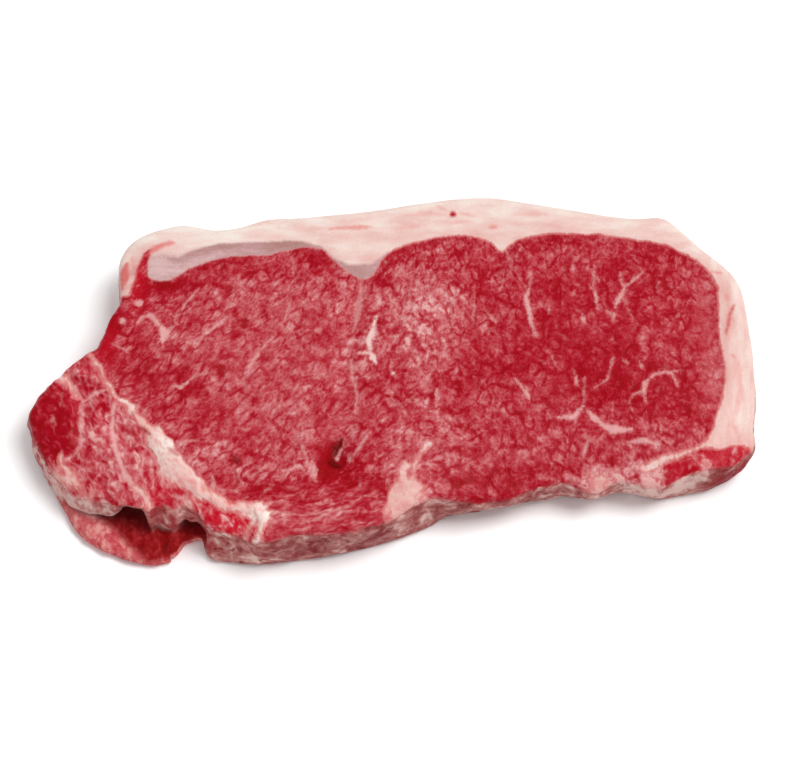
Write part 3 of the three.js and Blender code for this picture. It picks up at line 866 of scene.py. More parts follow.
# %% Creases and pits
# half width, darkness and places
CREASES = [
    (1.2, 1, (-15, -25.2), (-15.7, -27.6), (-16.9, -29.6)),
    (1.3, 1, (-17.4, -30.8), (-16.9, -32.4), (-15.4, -33.6)),
    (1, 0.96, (-44.6, -31), (-44, -33.8)),
    (1.1, 0.88, (-51.4, -3), (-49.2, -3), (-47.6, -3.6)),
    (1.2, 0.88, (-49.6, -3.4), (-48.8, -5.6)),
    (1, 0.88, (-45, 12.8), (-43, 12.4), (-41.6, 12.4)),
    (1.1, 0.88, (-43.4, 12.2), (-42.9, 10.2)),
    (1, 0.8, (-48.3, 24.2), (-47.5, 23)),
    (1.1, 0.7, (-71.3, -1.8), (-70.1, -3.2)),
    (0.9, 0.7, (-60.9, -2), (-59.8, -3.4)),
    (0.8, 0.8, (-50.6, 31.2), (-49.4, 30.3)),
    (0.6, 0.6, (-38.5, 23.5), (-37.5, 22)),
    (1, 0.6, (-54, -10.5), (-53, -12)),
    (0.6, 0.7, (16.5, 10), (17.5, 9)),
    (0.5, 0.6, (15.3, 18.7), (16, 18)),
    (0.6, 0.8, (20.5, -22.5), (22, -21)),
    (0.5, 0.8, (-44.5, -35.5), (-43.5, -39.5), (-45, -42)),
    (0.6, 0.8, (-42.5, -42.5), (-36.5, -40.5), (-29.5, -42), (-26, -43.5)),
    (0.5, 0.7, (-20, -40.5), (-17.5, -42.5), (-14.5, -42)),
    (0.5, 0.8, (-8.5, -43.5), (-7, -41.5), (-5.5, -35)),
    (0.5, 0.8, (-4, -44.5), (-3.5, -41.5), (-4.5, -37.5)),
    (0.4, 0.7, (21, 15.5), (24, 10.5), (25.5, 3)),
    (0.45, 0.8, (13.5, -13.5), (18, -19), (20.5, -22)),
    (0.35, 0.6, (5.5, -10.5), (5.5, -16.5)),
    (0.4, 0.6, (-27.5, -26), (-25.5, -31.5)),
    (0.5, 0.7, (53, 36), (51.5, 32.5), (47.5, 24)),
    (0.45, 0.6, (72, 26), (79, 24), (86.5, 21)),
    (0.4, 0.8, (81, -12.5), (86.5, -17), (87.5, -18.5)),
    (0.5, 0.6, (84.5, -21), (90, -19.5)),
    (0.4, 0.5, (53.5, -13.5), (49.5, -7)),
    (0.4, 0.5, (56, -12.5), (60.5, -9.5)),
    (0.6, 0.6, (88.5, -1.5), (91.5, -3.5)),
    (0.5, 0.5, (-81, -4), (-75, -8.5)),
    (0.7, 0.5, (-72.5, -10.5), (-67, -6)),
    (0.5, 0.6, (-71.5, 26.2), (-68.2, 25.2), (-64, 25.6)),
    (0.4, 0.5, (-0.5, 25), (1, 19)),
    (0.4, 0.6, (9.5, 35), (5.5, 30.5)),
    (0.6, 0.5, (10.5, -26), (14.5, -30.5)),
    (0.5, 0.5, (43.5, -13.5), (46.5, -21)),
    (0.5, 0.5, (64.5, -18), (70, -21)),
    (0.6, 0.8, (-71.5, -21.8), (-68.8, -24.1)),
    (0.4, 0.5, (-63.2, -28.8), (-60.8, -31.1)),
    (0.4, 0.45, (-74.5, -16.9), (-72.7, -18.8)),
    (0.6, 0.7, (16.1, 14), (16.5, 12.8)),
    (0.7, 0.8, (16.2, 6.6), (16.8, 5)),
    (0.5, 0.6, (18.3, -0.3), (19, -1.3)),
    (0.6, 0.6, (6.2, 2), (7, 0.6)),
    (0.5, 0.6, (8.7, 13.3), (9.3, 12.2)),
]
print(len(CREASES), "creases and pits")

# %% Stains in the fat
STAINS = [
    (0.6, 0.6, (-19, 43.9), (-14.3, 44.2), (-9.8, 44.3), (-6.6, 44.6)),
    (0.7, 0.2, (-34, 44), (-27.6, 43.8), (-19.3, 44.2)),
    (0.7, 0.16, (-45.5, 45), (-39, 46.3), (-33.5, 45)),
    (0.8, 1, (17, 49.2), (18.4, 49.5)),
    (0.5, 0.3, (3.5, 49.2), (9, 49.8), (16, 49.2)),
    (0.5, 0.35, (19.5, 49.8), (24, 48.4)),
    (0.4, 0.3, (13, 52.3), (16.8, 49.8)),
    (0.6, 0.2, (0.5, 44), (9.5, 45.5)),
    (0.5, 0.25, (12.5, 46.2), (23, 46.6)),
    (0.5, 0.6, (28.8, 44.5), (30.4, 44.7)),
    (0.6, 0.2, (36, 49.5), (45.5, 49)),
    (0.15, 0.9, (99, 17.5), (98, 15), (96.5, 8.5)),
    (0.3, 0.6, (93, 29), (96, 28.3)),
    (0.3, 0.6, (97.5, 1.5), (98.5, 0.5)),
    (0.6, 0.3, (98.6, 0.3), (99.6, -3), (99.4, -9.5), (97, -18.5), (95.5, -21)),
    (0.5, 0.4, (97, 20.5), (97.6, 19.7)),
    (0.6, 0.4, (97, -19.5), (97.5, -22)),
    (0.6, 0.7, (-71.6, 34.8), (-70.7, 36.6), (-68.7, 37.9), (-66.3, 38.8), (-64.6, 38.9)),
    (1.4, 0.8, (-78.4, 32.4), (-78.8, 29.2), (-79.2, 24.6)),
    (0.5, 0.35, (-76.9, 34.5), (-76.3, 31.5)),
]
print(len(STAINS), "stains")

# %% How deep every point lies in a crease or a stain
crease_depth, crease_dark = deepest(x, y, CREASES)
crease_depth = cut_sides_only(np.minimum(crease_depth, -vessel_depth))  # the vessel is pale in its pit
# stains are looked up where the point itself is, so that they end soon after the wall turns down
stain_depth, stain_red = deepest(*(body[:, :2] + WANDER * wander).T, STAINS)
stain_depth = cut_sides_only(stain_depth)
print(f"creases on {np.mean(crease_depth[on_face] > 0):.1%} of the cut face")

# %% [markdown]
# ### Tone
#
# The lean isn't one red. The left muscle is pinker, with a deep red margin under the silverskin,
# the middle has a pale patch of coarse bundles, the right muscle is the most saturated, and the
# tail is heavily marbled beside a dark red lobe at its end. These broad changes could be painted by
# hand. Here they are soft spots on the plan, each a centre, two half-widths and an amount, because
# a list of spots can be read and changed one by one.

# %% Spots of tone on the lean
# above zero paler, below zero deeper red
TONE_SPOTS = [
    (-38, 8, 16, 14, 0.03), (-60, 25, 14, 5, -0.05), (-42, 30, 16, 4.5, -0.05), (-24, 33, 7, 5, -0.1),
    (-80, 12, 4.5, 7, -0.2), (-66, 24.6, 6, 1.8, -0.3), (-73.5, 24, 3, 6, -0.35), (-75, -3, 8, 7, -0.18),
    (-55, -14, 10, 9, -0.05), (-82.5, 5.5, 3, 6, -0.3), (-17.8, -31.5, 4.5, 6, -0.6), (92, 18, 5, 10, 0.1),
    (91.5, -6, 4, 13, 0.2), (-26, -39, 24, 8, -0.13), (11, 11, 13, 16, 0.18), (10, 33, 16, 4.5, -0.12),
    (-3.2, 26.5, 2.8, 3.6, -0.35), (13, -25, 3.5, 8, 0.14), (28, -24, 10, 9, -0.08),
    (-10, -38, 7, 5, -0.12), (24, -4, 9, 14, -0.08), (58, 10, 32, 32, -0.2), (66, -10, 16, 10, -0.06),
    (52, -4, 20, 12, -0.05), (78, -14, 14, 10, -0.1), (86, 14, 6, 16, -0.06), (40, -22, 8, 9, 0.04),
    (44, -31, 12, 5, -0.08), (28, -38, 20, 3.5, -0.22),
]
# pale marbled places, in the tail above all
PALE_SPOTS = [
    (-84, -30, 5, 6, 0.1), (-80, -36, 7, 4, 0.12), (-75, -27, 4, 10, 0.2), (-71, -36, 5, 6, 0.25),
    (-87, -12, 5, 5, 0.05), (-87.5, -7.5, 2, 2, -0.5), (-83, -15, 2.6, 3.6, -0.35), (-90, -3, 5, 3, 0.1),
    (-86, -22, 2.5, 3, 0.25), (-57, -41, 6, 3, 0.1), (9, 9, 9, 13, 0.08), (-8, 8, 4, 6, 0.12),
    (73.5, -35.2, 3.6, 2.2, 0.9), (66, -35, 6, 2.5, 0.4), (79.5, -36.2, 4, 1.6, 1),
    (84, -34.5, 3.5, 1.5, 1.2), (89.5, -32.2, 3.5, 1.5, 1.2), (87.4, -30.4, 1, 1.2, 1),
    (95, -26.2, 6, 0.9, 1), (58.5, -36, 5.5, 3, 0.8), (7, -33, 5, 5, 0.25), (50, -36, 8, 3, 0.1),
    (-8, -47, 14, 2.5, 0.15), (-28, -47, 8, 2.5, 0.12),
]
MARGIN = 5.0  # the lean is deeper red this close to the fat cap
# lean that was cut last is still bright with oxygen
FRESH_SPOTS = [
    (101, -26, 7, 3, 1), (90, -30, 6, 3, 0.6), (80, -33, 5, 3, 0.4), (-66, -43, 5, 3.5, 0.6),
    (-54, -46, 7, 3, 0.55), (-44, -50.5, 4.5, 3, 0.75), (-72, -39, 4, 4, 0.3), (-50, -49.5, 4, 3, 0.3),
    (-74.5, 28, 2.5, 9, 0.8), (-82.5, 6, 2.6, 7, 0.6), (-89, -2, 4, 3, 0.3),
]
# the middle muscle's coarse bundles, and how strong the fine pattern is
COARSE_SPOTS = [(8, 6, 13, 17, 1.0), (20, -24, 8, 6, 0.4)]
CONTRAST_SPOTS = [
    (-38, 0, 26, 30, -0.22), (-25, -42, 24, 8, 0.25), (58, 8, 28, 28, -0.22), (91, 8, 4, 24, -0.45),
    (-97, -18, 6, 10, -0.2),
]
print(len(TONE_SPOTS), "spots of tone,", len(PALE_SPOTS), "pale and", len(FRESH_SPOTS), "fresh")

# %% Lobes of the tail
RED_LOBE = [
    (-96.7, -6.8), (-93.2, -9.3), (-90.7, -13.2), (-89.8, -19.9), (-90, -26.4), (-92.3, -28.8),
    (-94.4, -29.5), (-94.2, -34), (-96.7, -31.5), (-101, -22.4), (-104, -15), (-100.7, -9.5),
]
PALE_LOBES = [
    [(-91, -3.5, 2.6), (-86.5, -5.5, 2.6)],
    [(-85, -13.5, 3), (-84.5, -18, 2.6)],
]
lobe_depth = depth_in(*ragged, RED_LOBE)
pale_lobe_depth = strokes(x, y, PALE_LOBES)
print(f"the red lobe is {lobe_depth.max():.1f} mm deep")

# %% Tone of the lean
tone = spotted(x, y, TONE_SPOTS)
tone = tone - 0.1 * smooth(1 + cap_depth / MARGIN) * (x > -70) * smooth((92 - x) / 10)
tone = tone - 0.31 * inside(lobe_depth, 1.6) - 0.1 * inside(corner_lean, 1)
tone = tone + 0.1 * smooth(1 + vein_depth / 1.4) * vein_white  # fine marbling round each vein
pale = spotted(x, y, PALE_SPOTS) * (1 - inside(lobe_depth, 2)) * (1 - smooth(corner_lean + 0.7))
contrast = 1 + spotted(x, y, CONTRAST_SPOTS)
fresh = np.clip(spotted(x, y, FRESH_SPOTS), 0, 1)
coarse_cells = spotted(x, y, COARSE_SPOTS)
# painted light: the tail's inner slope, which faces away from the window, is made paler to make up for its
# shade
painted_slope_light = 0.12 * smooth((in_tail + 1) / 2.5) * (1 - smooth((in_tail - 9) / 7))
print(f"tone runs from {tone.min():.2f} to {tone.max():.2f}")

# %% Tone of the fat
# the spot at (-65.5, -29) makes the ridge's wedge paler: partly its own colour, partly painted light where it
# faces away from the window
FAT_SPOTS = [
    (-50, 41, 26, 5, 0.1), (97.5, 14, 2.2, 13, -0.12), (98.5, -12, 1.6, 12, 0.1), (14, 54, 20, 4, 0.08),
    (102.5, -6, 1.6, 16, -0.12), (60, 46, 24, 3, -0.02), (-76, 28, 3, 9, -0.2), (-65.5, -29, 4, 5, 0.26),
    (-60, -36, 4, 5, 0), (-72, -19, 8, 5, -0.05), (-36, -49, 6, 5, 0.2), (-91, -33, 4, 6, -0.1),
    (3, -43, 7, 7, -0.24), (59, -37.5, 5, 3, -0.25), (98, 0, 5, 40, -0.09), (78, -31, 8, 3, 0.1),
    (99, -25, 6, 4, -0.2), (9.7, -27.7, 2, 2, 0.3),
]
# fat is whitest at the outer edge, where it has dried, and pinkest beside the lean
off_edge = off_line(*plan.T, [tuple(station) for station in STATIONS[:, :2]])
fat_tone = spotted(x, y, FAT_SPOTS) + 0.24 * np.exp(-off_edge / 3.5) * smooth(cap_depth / 3)
fat_tone = fat_tone - 0.06 * bell(cap_depth, 2.5)
print(f"fat tone runs from {fat_tone.min():.2f} to {fat_tone.max():.2f}")

# %% Spots on the wall
WALL_UNITS = 20  # the way down the wall counts from 0 to this, and across it is X in millimetres
# the spot at X -90, 9 units down, is partly painted light: it lightens the shaded underside of the tail's lip
WALL_SPOTS = [
    (-53, 12, 4, 8, -0.06), (-46, 7, 4, 5, 0.06), (-40, 13, 5, 4, 0.14), (-31, 4, 2, 2, 0.15),
    (-16, 8, 4, 3, 0.1), (-6, 10, 7, 8, -0.14), (-24, 10, 9, 9, -0.02), (8, 11, 6, 6, 0.1),
    (19, 10, 6, 8, 0.08), (30, 8, 6, 8, 0.04), (48, 10, 9, 9, 0.14), (69, 10, 9, 9, 0.2),
    (80, 9, 7, 6, 0.3), (87, 7, 3, 4, 0.2), (92, 12, 3, 5, -0.2), (97, 11, 4, 8, -0.25),
    (-90, 9, 9, 6, 0.42), (-63, 10, 7, 12, -0.02),
]
# where the membrane is thin and the red lean shows through
WALL_RED_SPOTS = [
    (-99, 8, 6, 12, 0.7), (-52, 14, 4, 9, 0.7), (97, 14, 5, 9, 0.6), (-84, 3, 12, 4, 0.5),
    (-63, 8, 6, 10, 0.25), (-22, 18, 14, 4, 0.3),
]
# dark slits in it: half width, strength and places in the same measure
WALL_SLITS = [
    (0.6, 1, (-19.5, 5.5), (-16.5, 7.5)), (0.5, 0.9, (-33, 4), (-30, 4.5)),
    (0.4, 0.8, (-29.5, 5), (-27, 6.5)), (0.6, 0.9, (-6.5, 7), (-2, 5)), (0.4, 0.7, (2.5, 4), (6, 3)),
    (0.5, 0.7, (-24, 11), (-20.5, 13)), (0.5, 0.7, (-12.5, 10), (-9, 11.5)), (0.6, 0.8, (87, 8), (90, 11)),
    (0.4, 0.6, (36, 7), (40, 8.5)),
]
wall_down = WALL_UNITS * down
wall_tone = spotted(plan[:, 0], wall_down, WALL_SPOTS)
wall_red = spotted(plan[:, 0], wall_down, WALL_RED_SPOTS)
slit_depth, slit_dark = deepest(plan[:, 0], wall_down, WALL_SLITS)
slits = slit_dark * inside(slit_depth, 1.2) * (plan[:, 1] < 0)
print(len(WALL_SPOTS), "spots and", len(WALL_SLITS), "slits on the wall")

# %% [markdown]
# ### The outer skin of the wall
#
# Where the steak was cut from the loin by its natural edge, the wall is covered by a thin greyish
# membrane. The caves behind the tail's lip are given painted shade, which reaches a little way down
# onto the flap, and the flap in front of them is deep red with a pale rim of fat. Each is a share
# from 0 to 1, worked out from the wall's drawn rows, so it follows the section however far the split is open.

# %% Wall, caves and flap
MEMBRANE_ROW = 1.3  # where each begins, in drawn rows from the cut face
CAVE_ROW = 5.6  # its middle
FLAP_ROW = 6.6
RIM_ROW = 8.65
opened, _, _, cave = (np.tile(measure, DOWN) for measure in split)


def on_wall(values):
    """Values for the wall's points, with zero on the cut face and the underside."""
    full = np.zeros(len(body))
    full[face_count:under_first] = values
    return full


row_down = down[face_count:under_first] * (DRAWN_ROWS - 1)
front_facing = smooth(0.55 - 1.2 * np.tile(away[:, 1], DOWN))
membrane = on_wall(front_facing * smooth((row_down - MEMBRANE_ROW) / 1.4))
# painted shade in the caves, round their middle row and further down, over the top of the flap under the lip
off_cave = np.where(row_down > CAVE_ROW, (row_down - CAVE_ROW) / 1.2, CAVE_ROW - row_down)
painted_cave_shade = on_wall(opened * smooth((1.9 - off_cave) / 0.8) * smooth((cave - 1) / 3.2))
flap = on_wall(opened * smooth((row_down - FLAP_ROW) / 0.8))
flap_rim = on_wall(opened * smooth((row_down - RIM_ROW) / 0.5))
print(f"flap on {np.mean(flap > 0.5):.1%} of the points")

# %% [markdown]
# ## Relief
#
# Raw meat has relief at every size: muscles, bundles of fibres about two millimetres thick, and
# single fibres. The bundles are made here, by moving the points along their normals, so that they
# show in the outline and catch the light. Single fibres are finer than the mesh and are left to
# the material. Everything fades out at the foot, so the steak still lies flat.

# %% Directions of the grain
TAIL_TURN = np.radians(25)  # the tail's fibres lean the other way by this much
lean_x = grain_lean(plan[:, 0])
grain = np.stack([body[:, 0] - body[:, 1] * lean_x, body[:, 1], body[:, 2]], axis=1)
turned = np.stack([np.cos(TAIL_TURN) * body[:, 0] + np.sin(TAIL_TURN) * body[:, 1],
                   np.cos(TAIL_TURN) * body[:, 1] - np.sin(TAIL_TURN) * body[:, 0], body[:, 2]], axis=1)
# along the front edge the left muscle's fibres bend and run along the cut
wavy = smooth((-38 - plan[:, 1]) / 5) * smooth((14 - plan[:, 0]) / 8) * smooth((plan[:, 0] + 56) / 8)
wavy = wavy * (1 - smooth(in_tail + 1))
print(f"fibres run along the cut on {np.mean(wavy[on_face] > 0.5):.1%} of the face")


# %% Normals
def point_normals(points):
    """Each point's normal: the sum of the cross products of its faces' diagonals, made unit length."""
    total = np.zeros_like(points)
    across = np.cross(points[quads[:, 2]] - points[quads[:, 0]], points[quads[:, 3]] - points[quads[:, 1]])
    for corner in range(4):
        for axis in range(3):
            total[:, axis] += np.bincount(quads[:, corner], across[:, axis], len(points))
    return total / np.maximum(np.linalg.norm(total, axis=1, keepdims=True), 1e-9)


normals = point_normals(body)
print(f"{np.mean(normals[:, 2] > 0.9):.0%} of the points look up")

# %% Noises for the relief
BUNDLE = (2.2, 5.5, 2.2)  # width, length and depth of a bundle of fibres
tail_share = smooth((in_tail + 1) / 2)
bundles = (lattice_noise(grain, BUNDLE, 11) * (1 - tail_share) * (1 - wavy)
           + lattice_noise(turned, BUNDLE, 11) * tail_share
           + lattice_noise(body, (6, 1.8, 3), 11) * wavy)
strands = lattice_noise(body, 1.3, 12)
lumps = lattice_noise(body, 5.5, 13)
grit = lattice_noise(body, 1.6, 14)
pebbles = lattice_noise(body, 2.4, 15)
wrinkles = lattice_noise(body, (6, 6, 4), 16)
print("bundles", BUNDLE[0], "mm wide and", BUNDLE[1], "mm long")

# %% Add up the relief
FOOT_FADE = 2.5  # the relief grows from nothing to full over this height above the board
is_fat = inside(fat_depth, 0.8)
is_lean = 1 - is_fat
on_side = smooth((down - 0.08) / 0.15) * ~on_under

# each term is a height in millimetres times where it holds
relief = is_lean * (0.2 * bundles + 0.1 * strands + 0.12 * lumps)
relief += is_fat * (0.05 * lumps + 0.03 * grit)
relief += 0.3 * coarse_cells * is_lean * pebbles
relief += on_side * (0.35 * wrinkles + 0.3 * pebbles + 0.1 * grit) * (1 - 0.6 * is_fat)
relief += 0.04 * inside(vein_depth, 0.8) * vein_white * is_lean
relief -= 0.2 * inside(crease_depth, 1.8) * crease_dark
relief += 0.5 * smooth(ridge_depth / 2) + 0.6 * smooth(tuft_depth / 1.5)
relief += 0.9 * smooth(lobe_depth / 2.5) + 0.7 * smooth(pale_lobe_depth / 2.5)
relief -= 0.35 * bell(sheet_depth, 0.8) * smooth(in_tail)
relief += 0.2 * inside(silver_depth, 1.5) - 0.18 * slits
relief *= smooth(body[:, 2] / FOOT_FADE)

surface = body + relief[:, None] * normals
print(f"relief from {relief.min():.2f} to {relief.max():.2f} mm")

# %% [markdown]
# ## The mesh
#
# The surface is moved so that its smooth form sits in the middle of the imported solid's box, and
# turned into metres. The tissue depths go with it as attributes, and so does the grain, so that
# the material's fibres follow the muscles.

# %% Make the steak
cad_middle = np.array((cad_low + cad_high) / 2) / MM
smooth_middle = (body.min(axis=0) + body.max(axis=0)) / 2
shift = np.array([*(cad_middle - smooth_middle)[:2], 0.0])
print("shift into the frame:", shift.round(3), "mm")

mesh = bpy.data.meshes.new("raw_steak")
mesh.from_pydata((surface + shift) * MM, [], quads.tolist() + stitch.tolist())
mesh.polygons.foreach_set("use_smooth", np.ones(len(mesh.polygons), bool))
ATTRIBUTES = {
    "fat_depth": np.clip(fat_depth, -6, 6),
    "silver_depth": np.clip(silver_depth, -4, 6),
    "vein_depth": vein_depth,
    "vein_white": vein_white,
    "crease_depth": crease_depth,
    "crease_dark": crease_dark,
    "stain_depth": stain_depth,
    "stain_red": stain_red,
    "tone": tone,
    "pale": pale,
    "fat_tone": fat_tone,
    "wall_tone": wall_tone,
    "wall_red": wall_red,
    "painted_slope_light": painted_slope_light,
    "slits": slits,
    "silver_tone_and_shade": silver_tone_and_shade,
    "wavy": wavy,
    "contrast": contrast,
    "fresh": fresh,
    "fray": fray,
    "red_left": red_left,
    "coarse_cells": coarse_cells,
    "membrane": membrane,
    "painted_cave_shade": painted_cave_shade,
    "flap": flap,
    "flap_rim": flap_rim,
    "in_tail": np.clip(in_tail, -5, 5),
}
for name, values in ATTRIBUTES.items():
    mesh.attributes.new(name, "FLOAT", "POINT").data.foreach_set("value", values.astype(np.float32))
mesh.attributes.new("grain", "FLOAT_VECTOR", "POINT").data.foreach_set(
    "vector", grain.astype(np.float32).ravel())
mesh.validate()
steak = bpy.data.objects.new("raw_steak", mesh)
bpy.context.scene.collection.objects.link(steak)
print(len(mesh.polygons), "faces with", len(ATTRIBUTES) + 1, "attributes")

# %% [markdown]
# ## Colours under a wet light
#
# Colours are written down as they look on a screen, and the renderer works in linear light. The
# light here is strong, and the wet surface mirrors a little of it over everything, so a colour that
# was only made linear would come out too pale. Each colour is worked back through both.

# %% Screen colours as base colours
GLOSS = 0.009  # a wet surface under this light adds about this much white to what is under it
BRIGHTNESS = 1.24  # of the light, which is strong enough to show the board as pure white


def linear(red, green, blue):
    """A screen colour, 0 to 255, as the linear colour that the renderer works in."""
    screen = np.array([red, green, blue]) / 255
    values = np.where(screen <= 0.04045, screen / 12.92, ((screen + 0.055) / 1.055) ** 2.4)
    return (*values.tolist(), 1.0)


def under_gloss(red, green, blue):
    """The linear colour that looks like the given screen colour under the light and the gloss:
    its linear colour, less the gloss, over the brightness."""
    return (*(max(value - GLOSS, 0.0) / BRIGHTNESS for value in linear(red, green, blue)[:3]), 1.0)


print("red of lean meat in linear light:", [round(value, 3) for value in linear(190, 75, 82)[:3]])

# %% [markdown]
# ## Building a material
#
# A material is a tree of small nodes. A few helpers keep the recipes short: one makes a node and
# plugs its inputs, and the others are the sums, blends and noises that the recipes use over and
# over. Lengths inside the tree are millimetres.

# %% Nodes and sums of them
def plug(tree, socket, value):
    """Links a socket into an input, or sets the input to a value."""
    if isinstance(value, bpy.types.NodeSocket):
        tree.links.new(value, socket)
    else:
        socket.default_value = value


def add_node(tree, kind, inputs, **settings):
    """A node of that kind, with its settings set and its inputs plugged."""
    made = tree.nodes.new(kind)
    for name, value in settings.items():
        setattr(made, name, value)
    for key, value in inputs.items():
        plug(tree, made.inputs[key], value)
    return made


def attribute(tree, name, output="Fac"):
    """The value that the mesh carries under that name."""
    return add_node(tree, "ShaderNodeAttribute", {}, attribute_name=name).outputs[output]


def maths(tree, operation, *values):
    """The result of a sum, product or other operation on one or two values."""
    return add_node(tree, "ShaderNodeMath", dict(enumerate(values)), operation=operation).outputs[0]


def plus(tree, *values):
    """Sum of any number of values."""
    total = values[0]
    for value in values[1:]:
        total = maths(tree, "ADD", total, value)
    return total


def times(tree, *values):
    """Product of any number of values."""
    total = values[0]
    for value in values[1:]:
        total = maths(tree, "MULTIPLY", total, value)
    return total


def minus(tree, first, second):
    """The first value less the second."""
    return maths(tree, "SUBTRACT", first, second)


def around_middle(tree, value, gain):
    """How far a noise is from its middle, times a gain."""
    return times(tree, gain, minus(tree, value, 0.5))


print("sums:", ", ".join(helper.__name__ for helper in (plus, times, minus, around_middle)))

# %% Blends
def ease(tree, value, low, high):
    """0 where value is below low, 1 above high, and an S-curve between. Turned round if low is above high."""
    inputs = {"Value": value, "From Min": low, "From Max": high}
    return add_node(tree, "ShaderNodeMapRange", inputs, interpolation_type="SMOOTHSTEP").outputs[0]


def mix(tree, share, first, second):
    """The first value where share is 0, the second where it is 1."""
    return add_node(tree, "ShaderNodeMix", {0: share, 2: first, 3: second}).outputs[0]


def blend(tree, share, first, second):
    """The first colour where share is 0, the second where it is 1."""
    return add_node(tree, "ShaderNodeMix", {0: share, 6: first, 7: second}, data_type="RGBA").outputs[2]


def ramp(tree, value, stops):
    """A colour that runs by value through the stops, each a place and a screen colour."""
    made = add_node(tree, "ShaderNodeValToRGB", {0: value})
    elements = made.color_ramp.elements
    while len(elements) < len(stops):
        elements.new(0.5)
    for element, (place, *colour) in zip(elements, stops):
        element.position = place
        element.color = under_gloss(*colour)
    return made.outputs[0]


print("blends:", ", ".join(helper.__name__ for helper in (ease, mix, blend, ramp)))

# %% Noises
def stretched(tree, vector, size):
    """A vector divided by a size, number or triple, so that a noise's lumps get that size."""
    size = size if isinstance(size, tuple) else (size,) * 3
    inputs = {0: vector, 1: tuple(1 / length for length in size)}
    return add_node(tree, "ShaderNodeVectorMath", inputs, operation="MULTIPLY").outputs[0]


def turned_back(tree, vector, angle):
    """A vector turned by less that angle about Z, so that what lies along the angle lies along X."""
    inputs = {"Vector": vector, "Angle": -angle}
    return add_node(tree, "ShaderNodeVectorRotate", inputs, rotation_type="Z_AXIS").outputs[0]


def noise(tree, vector, size, detail=2.0, roughness=0.55):
    """Noise from 0 to 1 with lumps of about that size."""
    inputs = {"Vector": stretched(tree, vector, size), "Scale": 1.0, "Detail": detail,
              "Roughness": roughness}
    return add_node(tree, "ShaderNodeTexNoise", inputs).outputs["Fac"]


def warped(tree, vector, size, amount):
    """A vector pushed about by swirls of that size, by up to about half the amount."""
    inputs = {"Vector": stretched(tree, vector, size), "Scale": 1.0, "Detail": 1.0}
    push = add_node(tree, "ShaderNodeTexNoise", inputs).outputs["Color"]
    inputs = {0: push, 1: (amount,) * 3, 2: vector}
    return add_node(tree, "ShaderNodeVectorMath", inputs, operation="MULTIPLY_ADD").outputs[0]


def threads(tree, vector, size, width):
    """Thin winding lines: 1 where a noise crosses its middle, fading to 0 at width away from it."""
    off_middle = maths(tree, "ABSOLUTE", minus(tree, noise(tree, vector, size, detail=1.0), 0.5))
    return ease(tree, off_middle, width, 0.0)


def cells(tree, vector, size, feature):
    """Distances in a mosaic of rounded cells: F1 to the cell's middle, DISTANCE_TO_EDGE to its border."""
    inputs = {"Vector": stretched(tree, vector, size), "Scale": 1.0}
    return add_node(tree, "ShaderNodeTexVoronoi", inputs, feature=feature).outputs["Distance"]


def cracks(tree, vector, size, width):
    """1 on the borders of cells of that size, fading to 0 at width, in cell sizes."""
    return ease(tree, cells(tree, vector, size, "DISTANCE_TO_EDGE"), width, 0.0)


print("noises:", ", ".join(helper.__name__ for helper in (noise, warped, threads, cells, cracks)))

# %% [markdown]
# ## Lean
#
# Cut across the grain, lean meat is a mosaic. Fibres make a mottle about a millimetre across, and
# their bundles one of about two. Pale threads of connective tissue wind between the bundles, and
# every few millimetres a gap shows deep wet red. A single noise would look like cloud. So each of
# these is its own pattern on coordinates that swirls have pushed about, they add up to one value,
# the tone of the muscle shifts it, and a ramp turns it into colour. In the tail the fibres lie
# along the cut, so its pattern is streaks.

# %% The lean's pattern
WAVE_TURN = np.radians(14)  # the muscle's wavy end follows the front edge, which rises to the right


def eye_pattern(tree, grain, place):
    """The eye's lean, about 0.5: patches, bundles, fibres, pale threads and dark gaps added up, and
    crowned cells in the middle muscle. Near the front edge it is waves instead."""
    patches = noise(tree, warped(tree, place, 5.0, 3.0), 5.0, detail=2.0, roughness=0.6)
    broad = noise(tree, place, 16.0, detail=1.0)
    middling = plus(tree, 0.5, around_middle(tree, patches, 0.8), around_middle(tree, broad, 0.35))
    swirled = warped(tree, grain, 2.8, 1.2)
    fibres = noise(tree, swirled, (0.8, 1.0, 0.8), detail=1.0)
    bundles = noise(tree, swirled, (2.0, 2.4, 2.0), detail=1.0)
    pale_threads = maths(tree, "MAXIMUM", threads(tree, swirled, (2.2, 2.7, 2.2), 0.07),
                         threads(tree, swirled, (1.3, 1.8, 1.3), 0.06))
    gaps = cracks(tree, swirled, (3.6, 4.6, 3.6), 0.2)
    gap_share = ease(tree, noise(tree, place, 5.0, detail=0.0), 0.4, 0.56)
    off_crown = cells(tree, swirled, (1.8, 2.2, 1.8), "F1")
    across = plus(
        tree, middling, around_middle(tree, fibres, 0.42), around_middle(tree, bundles, 0.6),
        times(tree, 0.14, minus(tree, pale_threads, 0.35)),
        times(tree, -0.26, gap_share, minus(tree, gaps, 0.27)),
        times(tree, 0.42, attribute(tree, "coarse_cells"), minus(tree, 0.5, off_crown)),
    )
    waves = noise(tree, warped(tree, turned_back(tree, place, WAVE_TURN), 4.0, 4.0), (4.0, 1.2, 1.6),
                  detail=1.5)
    along = plus(tree, middling, around_middle(tree, waves, 1.1), around_middle(tree, fibres, 0.25))
    return mix(tree, attribute(tree, "wavy"), across, along)


def tail_pattern(tree, turned):
    """The tail's lean, about 0.5: streaks and islands along its fibres, with pale borders."""
    swirled = warped(tree, turned, 2.8, 1.8)
    streaks = noise(tree, swirled, (1.2, 3.0, 1.2), detail=1.2)
    islands = noise(tree, swirled, (2.1, 3.2, 2.1), detail=1.0)
    borders = cracks(tree, swirled, (2.2, 3.2, 2.2), 0.15)
    return plus(tree, 0.5, around_middle(tree, streaks, 0.8), around_middle(tree, islands, 1.1),
                times(tree, 0.12, minus(tree, borders, 0.3)))


